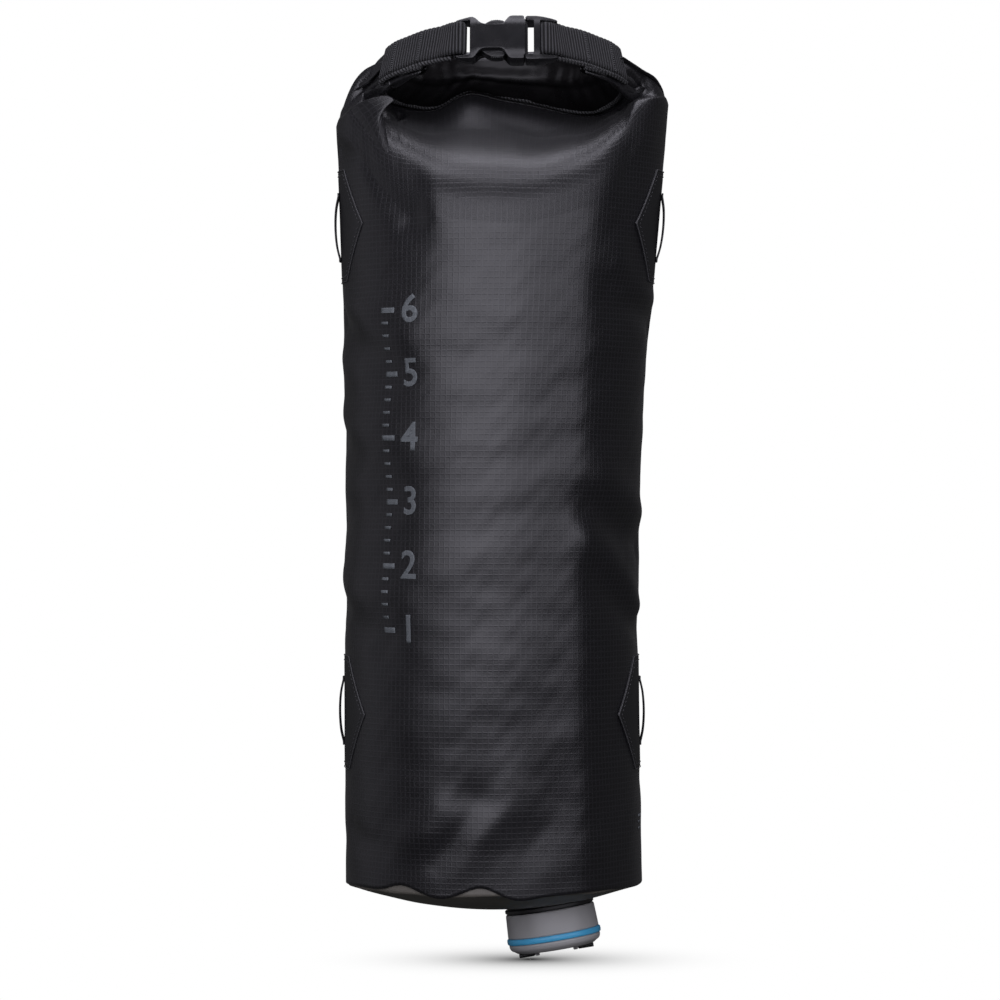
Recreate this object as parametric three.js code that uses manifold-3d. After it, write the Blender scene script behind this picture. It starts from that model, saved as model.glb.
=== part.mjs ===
// Roll-top hydration bladder: a welded fabric bag that hangs from the carry ring made by its rolled
// mouth, two webbing straps and a side-release buckle, with a tilted screw spout in its base and four
// lash patches on its sides. Millimetres, +Z up, +X to the right, -Y is the front with the buckle.
// The origin is the centre of the carry ring. Heights in the constants count from the cap's lowest
// point, and heightToZ turns them into the part's own frame.
import * as THREE from "three";
import { mergeVertices } from "three/addons/utils/BufferGeometryUtils.js";
import Module from "manifold-3d";

const wasm = await Module();
wasm.setup();

const RAD = Math.PI / 180;

// --- Driving dimensions ---
const RING_HEIGHT = 452; // carry ring centre above the cap's lowest point
const GAP = 0.3; // clearance between neighbouring pieces

const BODY_RADIUS = 74; // full bag, at the base
const WALL = 1.2; // coated fabric with its welds
const BASE_HEIGHT = 39; // welded base rim
const BASE_SHIFT = -4.5; // the base sits a little to the left of the ring
// The wall's section by height: shift in X, half width and half depth.
const BODY_PROFILE = [
  [BASE_HEIGHT, BASE_SHIFT, BODY_RADIUS, BODY_RADIUS],
  [150, -5.7, 73.2, BODY_RADIUS],
  [230, -5.3, 73.5, 73.5],
  [290, -4, 75, 72.5],
  [330, -2.8, 77.2, 71.5],
  [400, -1, 81.5, 66.5],
  [430, -0.5, 83.6, 65],
];
const BASE_SAG = 13.5; // how far the filled base bulges down
const BASE_FLANGE = 9; // turned-up edge of the base, welded inside the wall
const SHOULDER_FRONT = 399; // height of the shoulder line at the front centre
const SHOULDER_BACK = 410;
const SHOULDER_SIDE = 421.5; // mean height of the two side corners
const SHOULDER_TILT = 5.5; // right corner up, left corner down

const RING_HALF_WIDTH = 64;
const RING_HALF_DEPTH = 48;
const RING_SETBACK = -5; // the ring's centre line sits a little to the front
const RING_LEAN = 27 * RAD; // the band leans towards the ring's centre
const ROLL_START = -52 * RAD; // right end of the rolled mouth, measured from +X
const ROLL_END = 232 * RAD; // left end
const NECK_HEIGHT = 6.5; // flat closed neck just under the roll
const CLOSURE_GAP = 1.9; // half the thickness of that neck
const ROLL_HEIGHT = 25; // nominal: rollTop follows its true height
const ROLL_TOP = 456.3; // level top of the roll behind
const ROLL_END_HEIGHT = 17.4; // under the straps

const WEBBING_WIDTH = 19;
const WEBBING_THICKNESS = 1.3;

const BUCKLE_WIDTH = 24;
const BUCKLE_THICKNESS = 9;
const BUCKLE_DROP = 0.8; // the buckle hangs a little below the straps' line
const BUCKLE_X = 0.75;

const SPOUT_POINT = [23, 0.8, 26.8]; // spout axis at the base skin: x, y and height
const SPOUT_TILT_X = 0.1625; // the spout points down and a little to the right
const SPOUT_TILT_Y = -0.05; // and a little to the front
const BORE_RADIUS = 16.5;
const NECK_RADIUS = 18.6;
const THREAD_CREST = 20;
const CAP_ROOT = 20.6;
const CAP_CREST = 19.2;
const THREAD_PITCH = 6;
const NECK_LENGTH = 18;
const CAP_TOP = 2.1;
const CAP_FACE = 21.85;
const CAP_RADIUS = 22.9;
const BAND_RADIUS = 23.55;
const BAIL_RADIUS = 18.8;
const BAIL_WIDTH = 4;
const BAIL_THICKNESS = 2;

const PATCH_HEIGHT = 56;
const PATCH_HALF_WIDTH = 42;
const PATCH_HALF_TOP = 22;
const PATCH_THICKNESS = 0.8;
const PATCH_TOP_HEIGHT = 365;
const PATCH_LOW_HEIGHT = 124;
const LOOP_WIDTH = 12;
const LOOP_STANDOFF = 2.6;
const LOOP_THICKNESS = 1;

const ROUND = 40; // sides of a turned piece

// --- Materials ---
const finish = (color, roughness, metalness = 0) =>
  new THREE.MeshStandardMaterial({ color, roughness, metalness });
const fabric = finish(0x2e2e33, 0.55);
const baseFabric = finish(0x2a2822, 0.6);
const webbing = finish(0x303032, 0.9);
const buckleBlack = finish(0x202023, 0.4);
const capGrey = finish(0x737373, 0.5);
const bandBlue = finish(0x3c91c8, 0.45);
const sealRubber = finish(0xc8c8c4, 0.7);

// --- Helpers: closed solids from points ---
const heightToZ = (height) => height - RING_HEIGHT;
const vec = (x, y, z) => new THREE.Vector3(x, y, z);
const clamp01 = (t) => Math.min(1, Math.max(0, t));
const smooth = (t) => clamp01(t) ** 2 * (3 - 2 * clamp01(t));
const bell = (distance, width) => Math.exp(-((distance / width) ** 2));

// A geometry of triangles facing outwards: they are turned round where the enclosed volume is negative.
function closedGeometry(points, faces) {
  let volume = 0;
  for (const [a, b, c] of faces) {
    volume += points[a].dot(points[b].clone().cross(points[c]));
  }
  const turned = volume < 0 ? faces.map(([a, b, c]) => [a, c, b]) : faces;
  const geometry = new THREE.BufferGeometry();
  geometry.setAttribute("position", new THREE.Float32BufferAttribute(points.flatMap((p) => p.toArray()), 3));
  geometry.setIndex(turned.flat());
  return geometry;
}

// A thick sheet between two grids of points of the same size.
function thickSheet(outer, inner) {
  const rows = outer.length;
  const columns = outer[0].length;
  const points = [...outer.flat(), ...inner.flat()];
  const top = (row, column) => row * columns + column;
  const under = (row, column) => rows * columns + row * columns + column;
  const faces = [];
  const quad = (a, b, c, d) => faces.push([a, b, c], [a, c, d]);
  for (let row = 0; row < rows - 1; row++) {
    for (let column = 0; column < columns - 1; column++) {
      quad(top(row, column), top(row, column + 1), top(row + 1, column + 1), top(row + 1, column));
      quad(under(row, column), under(row + 1, column), under(row + 1, column + 1), under(row, column + 1));
    }
  }
  for (let row = 0; row < rows - 1; row++) {
    quad(top(row, 0), top(row + 1, 0), under(row + 1, 0), under(row, 0));
    const last = columns - 1;
    quad(top(row + 1, last), top(row, last), under(row, last), under(row + 1, last));
  }
  for (let column = 0; column < columns - 1; column++) {
    quad(top(0, column + 1), top(0, column), under(0, column), under(0, column + 1));
    const last = rows - 1;
    quad(top(last, column), top(last, column + 1), under(last, column + 1), under(last, column));
  }
  return closedGeometry(points, faces);
}

// A bar whose section is the outline, placed by place(share, a, b) at each step along its way.
function sweep(outline, steps, place) {
  const flat = outline.map(([a, b]) => new THREE.Vector2(a, b));
  if (THREE.ShapeUtils.area(flat) < 0) flat.reverse();
  const count = flat.length;
  const points = [];
  for (let step = 0; step <= steps; step++) {
    flat.forEach((corner) => points.push(place(step / steps, corner.x, corner.y)));
  }
  const faces = [];
  for (let near = 0; near < steps * count; near += count) {
    const far = near + count;
    for (let i = 0; i < count; i++) {
      const next = (i + 1) % count;
      faces.push([near + i, near + next, far + next], [near + i, far + next, far + i]);
    }
  }
  const last = steps * count;
  for (const [a, b, c] of THREE.ShapeUtils.triangulateShape(flat, [])) {
    faces.push([a, c, b], [last + a, last + b, last + c]);
  }
  return closedGeometry(points, faces);
}

function toSolid(geometry) {
  const bare = geometry.clone();
  bare.deleteAttribute("normal");
  bare.deleteAttribute("uv");
  const merged = mergeVertices(bare, 1e-4);
  return new wasm.Manifold(
    new wasm.Mesh({
      numProp: 3,
      vertProperties: merged.getAttribute("position").array,
      triVerts: new Uint32Array(merged.index.array),
    }),
  );
}

function toGeometry(solid) {
  const mesh = solid.getMesh();
  const positions = [];
  for (let i = 0; i < mesh.numVert; i++) {
    positions.push(...mesh.vertProperties.subarray(i * mesh.numProp, i * mesh.numProp + 3));
  }
  const geometry = new THREE.BufferGeometry();
  geometry.setAttribute("position", new THREE.Float32BufferAttribute(positions, 3));
  geometry.setIndex([...mesh.triVerts]);
  return geometry;
}

const join = (first, ...others) =>
  toGeometry(others.reduce((made, other) => made.add(toSolid(other)), toSolid(first)));
const cut = (first, ...others) =>
  toGeometry(others.reduce((made, other) => made.subtract(toSolid(other)), toSolid(first)));

// What the cutter leaves of a piece, without the slivers it parts off.
function trim(geometry, cutter) {
  const bodies = toSolid(geometry).subtract(toSolid(cutter)).decompose();
  return toGeometry(bodies.sort((a, b) => b.volume() - a.volume())[0].simplify(0.03));
}

function box(x0, x1, y0, y1, z0, z1) {
  const geometry = new THREE.BoxGeometry(x1 - x0, y1 - y0, z1 - z0);
  return geometry.translate((x0 + x1) / 2, (y0 + y1) / 2, (z0 + z1) / 2);
}

// A turned piece around +Z from [radius, z] points that close on themselves or on the axis.
function turned(profile, segments = ROUND) {
  const points = profile.map(([r, z]) => new THREE.Vector2(r, z));
  if (profile[0][0] > 0) points.push(points[0].clone());
  return closedTurn(new THREE.LatheGeometry(points, segments).rotateX(Math.PI / 2));
}

function closedTurn(geometry) {
  const merged = toIndexed(geometry);
  const position = merged.getAttribute("position");
  const points = [];
  for (let i = 0; i < position.count; i++) points.push(new THREE.Vector3().fromBufferAttribute(position, i));
  const faces = [];
  const index = merged.index.array;
  for (let i = 0; i < index.length; i += 3) {
    const face = [index[i], index[i + 1], index[i + 2]];
    if (new Set(face).size === 3) faces.push(face);
  }
  return closedGeometry(points, faces);
}

function toIndexed(geometry) {
  const bare = geometry.clone();
  bare.deleteAttribute("normal");
  bare.deleteAttribute("uv");
  return mergeVertices(bare, 1e-4);
}

function piece(name, geometry, material) {
  const mesh = new THREE.Mesh(geometry, material);
  mesh.name = name;
  return mesh;
}

// --- Carry ring ---
// Height of the ring band's lower edge: high at the front, lowest behind the sides, with a hump left of
// the back's middle.
function ringEdge(angle) {
  const s = Math.sin(angle);
  if (s < 0) return 432 + 10.4 * Math.abs(s) ** 1.4;
  const hump = 6.5 * bell(angle / RAD - 107, 13) + 3 * bell(angle / RAD - 142, 18);
  return 432 + 2.5 * s ** 4 - 6.5 * Math.sin(2 * angle) ** 2 + hump;
}

// A point of the ring band: a counts outwards through the band, b counts up along it.
function ringPoint(angle, a, b) {
  const normal = vec(Math.cos(angle) / RING_HALF_WIDTH, Math.sin(angle) / RING_HALF_DEPTH, 0).normalize();
  return bandPoint(
    vec(RING_HALF_WIDTH * Math.cos(angle), RING_SETBACK + RING_HALF_DEPTH * Math.sin(angle), ringEdge(angle)),
    normal,
    a,
    b,
  );
}

function bandPoint(edge, normal, a, b) {
  const outwards = a * Math.cos(RING_LEAN) - b * Math.sin(RING_LEAN);
  const upwards = a * Math.sin(RING_LEAN) + b * Math.cos(RING_LEAN);
  const point = edge.clone().addScaledVector(normal, outwards);
  point.z = heightToZ(edge.z + upwards);
  return point;
}

// --- Bag surface: angle 0 is the right seam, 90 degrees the back, 180 the left seam, 270 the front ---
// Level 0 to 1 is the wall, 1 to 2 the shoulder up to the closed neck, and 2 to 3 the neck.
function shoulderHeight(angle) {
  const s = Math.sin(angle);
  const side = SHOULDER_SIDE + SHOULDER_TILT * Math.cos(angle);
  const share = s < 0 ? Math.abs(s) ** 3 : s ** 2;
  return side + share * ((s < 0 ? SHOULDER_FRONT : SHOULDER_BACK) - side);
}

function bodySection(height) {
  const next = BODY_PROFILE.findIndex(([top]) => top >= height);
  if (next < 1) return next < 0 ? BODY_PROFILE.at(-1) : BODY_PROFILE[0];
  const [low, high] = [BODY_PROFILE[next - 1], BODY_PROFILE[next]];
  const share = (height - low[0]) / (high[0] - low[0]);
  return low.map((value, i) => value + (high[i] - value) * share);
}

function wallPoint(angle, level) {
  const height = BASE_HEIGHT + (shoulderHeight(angle) - BASE_HEIGHT) * level;
  const [, shift, halfWidth, halfDepth] = bodySection(height);
  const squareness = 0.35 * clamp01((height - 230) / 190) ** 2;
  const s = Math.sin(angle);
  return vec(shift + halfWidth * Math.cos(angle), halfDepth * s * Math.abs(s) ** squareness, heightToZ(height));
}

// The closed neck under the roll: the back skin lies outside the ring's line, the front skin inside it.
function neckPoint(angle, rise) {
  const across = angle <= Math.PI ? angle : 2 * Math.PI - angle;
  const side = angle <= Math.PI ? 1 : -1;
  const around = ROLL_START + ((ROLL_END - ROLL_START) * across) / Math.PI;
  const spread = CLOSURE_GAP * Math.min(1, Math.sqrt(4 * Math.abs(Math.sin(across))));
  const normal = vec(Math.cos(around) / RING_HALF_WIDTH, Math.sin(around) / RING_HALF_DEPTH, 0).normalize();
  return vec(
    RING_HALF_WIDTH * Math.cos(around),
    RING_SETBACK + RING_HALF_DEPTH * Math.sin(around),
    heightToZ(ringEdge(around)) - 0.5 - NECK_HEIGHT * (1 - rise),
  ).addScaledVector(normal, side * spread);
}

function bagPoint(angle, level) {
  if (level <= 1) return wallPoint(angle, level);
  if (level >= 2) return neckPoint(angle, level - 2);
  const t = level - 1;
  const s = Math.sin(angle);
  const swell = Math.sin(Math.PI * t) * Math.min(1, 2 * Math.abs(s));
  const point = wallPoint(angle, 1).lerp(neckPoint(angle, 0), t);
  if (s < 0) return point.add(vec(0, 0, -6 * swell * s * s));
  return point.add(vec(Math.cos(angle), s, 0.8).multiplyScalar(8 * swell));
}

function bagNormal(angle, level) {
  const step = 0.02;
  const top = Math.min(3, level + step);
  const low = Math.max(0, level - step);
  const along = bagPoint(wrap(angle + 0.12), level).sub(bagPoint(wrap(angle - 0.12), level));
  const up = bagPoint(angle, top).sub(bagPoint(angle, low));
  return along.cross(up).normalize();
}

const wrap = (angle) => (angle + 2 * Math.PI) % (2 * Math.PI);

// Half of the bag as a thick skin, grown by margin on both faces; its seam edges keep clear of the
// other half.
function bagHalf(firstAngle, margin = 0) {
  const columns = 18;
  const levels = [];
  for (let i = 0; i <= 10; i++) levels.push(i / 10);
  for (let i = 1; i <= 8; i++) levels.push(1 + i / 8);
  levels.push(3);
  const outer = [];
  const inner = [];
  for (const level of levels) {
    const skin = [];
    const lining = [];
    for (let column = 0; column <= columns; column++) {
      const angle = wrap(firstAngle + (Math.PI * column) / columns);
      const safe = column === columns ? wrap(angle - 1e-9) : angle;
      const point = bagPoint(safe, level);
      const normal = bagNormal(angle, level);
      skin.push(point.clone().addScaledVector(normal, margin));
      lining.push(point.clone().addScaledVector(normal, -WALL - margin));
    }
    separate(skin, lining);
    outer.push(skin);
    inner.push(lining);
  }
  return thickSheet(outer, inner);
}

function separate(skin, lining) {
  const last = skin.length - 1;
  for (const [edge, next] of [[0, 1], [last, last - 1]]) {
    const thickness = skin[next].clone().sub(lining[next]).normalize();
    for (const row of [skin, lining]) {
      const along = row[next].clone().sub(row[edge]).normalize();
      row[edge].addScaledVector(along, GAP).addScaledVector(thickness, 0.4 * GAP);
    }
  }
}

function basePanel() {
  const sag = (r) => heightToZ(BASE_HEIGHT - BASE_SAG * (1 - (r / BODY_RADIUS) ** 2));
  const edge = BODY_RADIUS - WALL - 3 * GAP;
  const radii = [0, 12, 24, 36, 48, 60, 68, edge];
  const under = radii.map((r) => [r, sag(r)]);
  const over = radii.slice(0, -1).map((r) => [r, sag(r) + 1.5]).reverse();
  const top = heightToZ(BASE_HEIGHT + BASE_FLANGE);
  const dish = turned([...under, [edge, top], [edge - WALL, top], [edge - WALL, sag(edge) + 1.5], ...over], 48);
  dish.translate(BASE_SHIFT, 0, 0);
  const hole = new THREE.CylinderGeometry(19.2, 19.2, 60, ROUND).rotateX(Math.PI / 2);
  hole.applyMatrix4(spoutMatrix());
  return piece("base_panel", cut(dish, hole), baseFabric);
}

// --- Spout and cap, around a local +Z that points out of the bag ---
function spoutMatrix() {
  const out = vec(SPOUT_TILT_X, SPOUT_TILT_Y, -1).normalize();
  const back = vec(0, 1, 0).addScaledVector(out, -out.y).normalize();
  const side = back.clone().cross(out);
  const [x, y, height] = SPOUT_POINT;
  return new THREE.Matrix4().makeBasis(side, back, out).setPosition(x, y, heightToZ(height));
}

// A thread ridge: a helix that rises one pitch a turn and fades out at both ends.
function threadRidge(root, crest, start, turns) {
  const steps = Math.round(24 * turns);
  const outline = [[0, -1.25], [1, -0.7], [1, 0.7], [0, 1.25]];
  return sweep(outline, steps, (t, a, b) => {
    const fade = clamp01(Math.min(t, 1 - t) * steps * 0.25 + 0.15);
    const radius = root + (crest - root) * a * fade;
    const angle = 2 * Math.PI * turns * t;
    return vec(radius * Math.cos(angle), radius * Math.sin(angle), start + THREAD_PITCH * turns * t + b);
  });
}

function spout() {
  const body = turned([
    [BORE_RADIUS, -6.4],
    [30, -8.2],
    [30, -7],
    [NECK_RADIUS, -4.8],
    [NECK_RADIUS, -0.2],
    [22.2, -0.2],
    [22.2, 1.6],
    [NECK_RADIUS, 1.6],
    [NECK_RADIUS, NECK_LENGTH],
    [BORE_RADIUS, NECK_LENGTH],
  ]);
  return piece("spout", join(body, threadRidge(NECK_RADIUS - 0.5, THREAD_CREST, 4.5, 1.75)), buckleBlack);
}

function capShell() {
  const shell = turned([
    [0, CAP_FACE],
    [19.6, CAP_FACE],
    [CAP_RADIUS, 19],
    [CAP_RADIUS, 17.3],
    [22, 17.3],
    [22, 13.7],
    [CAP_RADIUS, 13.7],
    [22.2, CAP_TOP],
    [CAP_ROOT, CAP_TOP],
    [CAP_ROOT, 19.5],
    [0, 19.5],
  ]);
  const lugs = [1, -1].map((side) => {
    const [x0, x1] = [8.4, 10.8].map((x) => side * x).sort((p, q) => p - q);
    return box(x0, x1, -1.6, 1.6, CAP_FACE - 0.5, CAP_FACE + 2.7);
  });
  const thread = threadRidge(CAP_ROOT + 0.4, CAP_CREST, 4.5 + THREAD_PITCH / 2, 1.5);
  const pinHole = new THREE.CylinderGeometry(0.95, 0.95, 30, 12).rotateZ(Math.PI / 2);
  pinHole.translate(0, 0, bailAxis());
  return piece("cap_shell", cut(join(shell, ...lugs, thread), pinHole), capGrey);
}

const bailAxis = () => CAP_FACE + GAP + BAIL_THICKNESS / 2;

function capBand() {
  const band = turned([[22.3, 14.1], [BAND_RADIUS, 14.1], [BAND_RADIUS, 16.9], [22.3, 16.9]]);
  return piece("cap_band", band, bandBlue);
}

function capSeal() {
  return piece("cap_seal", turned([[16.8, 18.3], [20.2, 18.3], [20.2, 19.2], [16.8, 19.2]]), sealRubber);
}

function capStud() {
  const stud = turned([[0, 0], [2.5, 0], [2.5, 0.8], [1.6, 1.6], [0, 1.6]], 20);
  return piece("cap_stud", stud.translate(3, 0, CAP_FACE + GAP), capGrey);
}

// The bail is a half ring that folds flat on the cap's face, with a barrel and a stub pin at each end.
function capBail() {
  const outline = new THREE.Shape();
  outline.absarc(0, 0, BAIL_RADIUS, 3 * RAD, 177 * RAD, false);
  outline.absarc(0, 0, BAIL_RADIUS - BAIL_WIDTH, 177 * RAD, 3 * RAD, true);
  const bow = new THREE.ExtrudeGeometry(outline, { depth: BAIL_THICKNESS, bevelEnabled: false, curveSegments: 20 });
  bow.translate(0, 0, bailAxis() - BAIL_THICKNESS / 2);
  const ends = [1, -1].flatMap((side) => [
    barAlongX(side * 11.1, side * BAIL_RADIUS, 1.1),
    barAlongX(side * 8.9, side * 11.6, 0.6),
  ]);
  return piece("cap_bail", join(bow, ...ends), buckleBlack);
}

function barAlongX(x0, x1, radius) {
  const bar = new THREE.CylinderGeometry(radius, radius, Math.abs(x1 - x0), 16).rotateZ(Math.PI / 2);
  return bar.translate((x0 + x1) / 2, 0, bailAxis());
}

// --- Rolled mouth ---
// How far the outer fold puffs out: most at the sides, nothing where the straps are sewn on.
function rollBulge(angle) {
  const fromEnd = Math.min(angle - ROLL_START, ROLL_END - angle);
  return smooth((fromEnd / RAD - 31) / 26) * (3 + 4 * Math.cos(angle) ** 2);
}

// How tall the roll stands above its lower edge.
function rollTop(angle) {
  const fromEnd = Math.min(angle - ROLL_START, ROLL_END - angle) / RAD;
  const level = (ROLL_TOP - ringEdge(angle)) / Math.cos(RING_LEAN);
  return ROLL_END_HEIGHT + (level - ROLL_END_HEIGHT) * smooth((fromEnd - 14) / 38);
}

function rollSweep(outline, trim = 0) {
  const start = ROLL_START + trim;
  const end = ROLL_END - trim;
  return sweep(outline, 44, (t, a, b) => {
    const angle = start + (end - start) * t;
    const puff = a > 2 ? rollBulge(angle) * Math.sin((Math.PI * clamp01(b / (ROLL_HEIGHT + 3)))) : 0;
    return ringPoint(angle, a + puff, b > 4 ? (b * rollTop(angle)) / ROLL_HEIGHT : b);
  });
}

function rollPieces() {
  const outerFold = [
    [1, 0.5],
    [2.4, 1.5],
    [2.5, 9],
    [2.4, 18],
    [1.8, 23.5],
    [0, ROLL_HEIGHT],
    [-1.6, 24.3],
    [-2.2, 22.8],
    [-2.2, 4],
    [-1, 4],
    [-1, 22.6],
    [1, 22.6],
  ];
  const stiffener = [[-0.55, 1], [0.55, 1], [0.55, 22.2], [-0.55, 22.2]];
  const innerFold = [[-4.1, 0.8], [-2.9, 0.8], [-2.9, 19.5], [-4.1, 19.5]];
  const binding = [];
  for (let i = 0; i < 8; i++) {
    const turn = (2 * Math.PI * i) / 8;
    binding.push([-5.3 + 1.5 * Math.cos(turn), -0.8 + 1.5 * Math.sin(turn)]);
  }
  return [
    piece("roll_outer_fold", rollSweep(outerFold), fabric),
    piece("lip_stiffener", rollSweep(stiffener, 2 * RAD), buckleBlack),
    piece("roll_inner_fold", rollSweep(innerFold), fabric),
    piece("lip_binding", rollSweep(binding), fabric),
  ];
}

// --- Straps ---
// Each strap runs from its buckle bar round to where it is sewn over the end of the roll.
function strap(name, side, start) {
  const route = new THREE.CatmullRomCurve3(
    [
      [start, -53, 442.3],
      [start + 4, -52.8, 442.2],
      [32, -48, 441.2],
      [40, -42.6, 440],
      [47, -37.6, 438],
      [53.4, -32.6, 436],
      [58, -28, 433.8],
    ].map(([x, y, z]) => vec(side * x, y, z)),
  );
  const t = WEBBING_THICKNESS / 2;
  const outline = [[3.6 - t, 0], [3.6 + t, 0], [3.6 + t, WEBBING_WIDTH], [3.6 - t, WEBBING_WIDTH]];
  const geometry = sweep(outline, 14, (share, a, b) => {
    const tangent = route.getTangent(share);
    const normal = vec(side * tangent.y, -side * tangent.x, 0).normalize();
    return bandPoint(route.getPoint(share), normal, a, b);
  });
  return piece(name, geometry, webbing);
}

// --- Buckle, in its own frame: X along the strap, Z across it, -Y towards the front ---
function plate(points, thickness) {
  const outline = new THREE.Shape(points.map(([x, z]) => new THREE.Vector2(x, z)));
  const geometry = new THREE.ExtrudeGeometry(outline, { depth: thickness, bevelEnabled: false });
  return geometry.translate(0, 0, -thickness / 2).rotateX(Math.PI / 2);
}

function buckleFemale() {
  const half = BUCKLE_WIDTH / 2;
  const outline = [
    [-24, -half + 2],
    [-22, -half + 0.6],
    [-16.2, -half + 0.6],
    [-14, -half],
    [8, -half],
    [10, -half + 1.5],
    [10, half - 1.5],
    [8, half],
    [-14, half],
    [-16.2, half - 0.6],
    [-22, half - 0.6],
    [-24, half - 2],
  ];
  const body = plate(outline, BUCKLE_THICKNESS);
  const lugShave = [1, -1].map((side) => {
    const [y0, y1] = [3.7, 6].map((y) => side * y).sort((p, q) => p - q);
    return box(-25, -15.5, y0, y1, -half - 1, half + 1);
  });
  const cavity = box(-13.5, 11, -2.6, 2.6, -10.2, 10.2);
  const slot = box(-19.4, -16.8, -6, 6, -9.9, 9.9);
  const waists = [box(-10.4, 0.4, -6, 6, 7.2, 14), box(-10.4, 0.4, -6, 6, -14, -7.2)];
  return piece("buckle_female", cut(body, ...lugShave, cavity, slot, ...waists), buckleBlack);
}

function buckleMale() {
  const half = BUCKLE_WIDTH / 2;
  const outline = [
    [10.3, -half + 1.5],
    [12, -half],
    [23.5, -half + 0.6],
    [25.4, -half + 1.6],
    [25.4, half - 1.6],
    [23.5, half - 0.6],
    [12, half],
    [10.3, half - 1.5],
  ];
  const frame = cut(plate(outline, 7.2), box(10, 14.3, -6, 6, -9.9, 9.9), box(17.3, 27, -6, 6, -10.4, 10.4));
  const crossbar = box(9.5, 11.3, -2.2, 2.2, -10, 10);
  const tongue = box(2, 9.6, -1.6, 1.6, -1.6, 1.6);
  return piece("buckle_male", join(frame, crossbar, tongue), buckleBlack);
}

// A prong: a springy arm with a press pad that stands in the female half's side window.
function prong(name, side) {
  const outline = [
    [9.2, 4.6],
    [9.2, 8.4],
    [0.8, 7.6],
    [0, 8],
    [0, 10.3],
    [-3.8, 10.9],
    [-7.6, 10.3],
    [-10.2, 8.4],
    [-12.3, 6.2],
    [-12.3, 4.6],
  ];
  return piece(name, plate(outline.map(([x, z]) => [x, side * z]), 4.4), buckleBlack);
}

function buckle() {
  const group = new THREE.Group();
  group.add(buckleFemale(), buckleMale(), prong("prong_upper", 1), prong("prong_lower", -1));
  const edge = vec(BUCKLE_X, RING_SETBACK - RING_HALF_DEPTH, ringEdge(-90 * RAD) + 0.6 - BUCKLE_DROP);
  group.position.copy(bandPoint(edge, vec(0, -1, 0), 3.6, WEBBING_WIDTH / 2));
  group.rotation.x = -RING_LEAN;
  return group;
}

// --- Lash patches and loops ---
function wallFrame(angle, height) {
  const level = (height - BASE_HEIGHT) / (shoulderHeight(angle) - BASE_HEIGHT);
  return { point: wallPoint(angle, level), normal: bagNormal(angle, level) };
}

// A welded hexagonal patch that follows the wall, with its long points to the front and the back.
function lashPatch(name, angle, height) {
  const rows = 8;
  const columns = 10;
  const outer = [];
  const inner = [];
  for (let row = 0; row <= rows; row++) {
    const rise = PATCH_HEIGHT * (row / rows - 0.5);
    const reach = PATCH_HALF_WIDTH - (PATCH_HALF_WIDTH - PATCH_HALF_TOP) * Math.abs(2 * row / rows - 1);
    const [far, near] = [[], []];
    for (let column = 0; column <= columns; column++) {
      const arc = (reach * (2 * column / columns - 1)) / BODY_RADIUS;
      const { point, normal } = wallFrame(wrap(angle + arc), height + rise);
      far.push(point.clone().addScaledVector(normal, 0.4 + PATCH_THICKNESS));
      near.push(point.clone().addScaledVector(normal, 0.4));
    }
    outer.push(far);
    inner.push(near);
  }
  return piece(name, thickSheet(outer, inner), fabric);
}

// A low bridge of webbing over the patch, open at its front and back.
function lashLoop(name, angle, height) {
  const low = 1.6;
  const outline = new THREE.Shape(
    [
      [-15, low],
      [-10.5, low],
      [-6.5, LOOP_STANDOFF],
      [6.5, LOOP_STANDOFF],
      [10.5, low],
      [15, low],
      [15, low + LOOP_THICKNESS],
      [11, low + LOOP_THICKNESS],
      [6.9, LOOP_STANDOFF + LOOP_THICKNESS],
      [-6.9, LOOP_STANDOFF + LOOP_THICKNESS],
      [-11, low + LOOP_THICKNESS],
      [-15, low + LOOP_THICKNESS],
    ].map(([along, out]) => new THREE.Vector2(along, out)),
  );
  const band = new THREE.ExtrudeGeometry(outline, { depth: LOOP_WIDTH, bevelEnabled: false });
  band.translate(0, 0, -LOOP_WIDTH / 2);
  const { point, normal } = wallFrame(angle, height);
  const out = vec(normal.x, 0, normal.z).normalize();
  const up = vec(-out.z * Math.sign(out.x), 0, Math.abs(out.x));
  const across = up.clone().cross(out);
  band.applyMatrix4(new THREE.Matrix4().makeBasis(up, out, across).setPosition(point));
  return piece(name, band, webbing);
}

function lashPoints() {
  const parts = [];
  for (const [side, angle] of [["right", 0], ["left", Math.PI]]) {
    for (const [place, height] of [["upper", PATCH_TOP_HEIGHT], ["lower", PATCH_LOW_HEIGHT]]) {
      parts.push(lashPatch(`lash_patch_${place}_${side}`, angle, height));
      parts.push(lashLoop(`lash_loop_${place}_${side}`, angle, height));
    }
  }
  return parts;
}

// --- Assembly ---
function capAndSpout() {
  const group = new THREE.Group();
  group.add(spout(), capShell(), capBand(), capSeal(), capStud(), capBail());
  group.applyMatrix4(spoutMatrix());
  return group;
}

const bladder = new THREE.Group();
bladder.add(
  piece("bag_back_panel", bagHalf(0), fabric),
  piece("bag_front_panel", trim(bagHalf(Math.PI), bagHalf(0, 0.25)), fabric),
  basePanel(),
  capAndSpout(),
  ...rollPieces(),
  strap("strap_left", -1, 24.4),
  strap("strap_right", 1, 19.2),
  buckle(),
  ...lashPoints(),
);

export default bladder;
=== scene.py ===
"""Looks of the roll-top hydration bladder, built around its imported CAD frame.

Sizes in this file are millimetres in the frame's axes: +X right, -Y front, +Z up from the carry ring's
centre. Heights count from the cap's lowest point, and z_of() turns them into the frame's own Z.
"""
import math

import bmesh
import bpy
import numpy as np
from mathutils import Matrix, Vector


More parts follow.
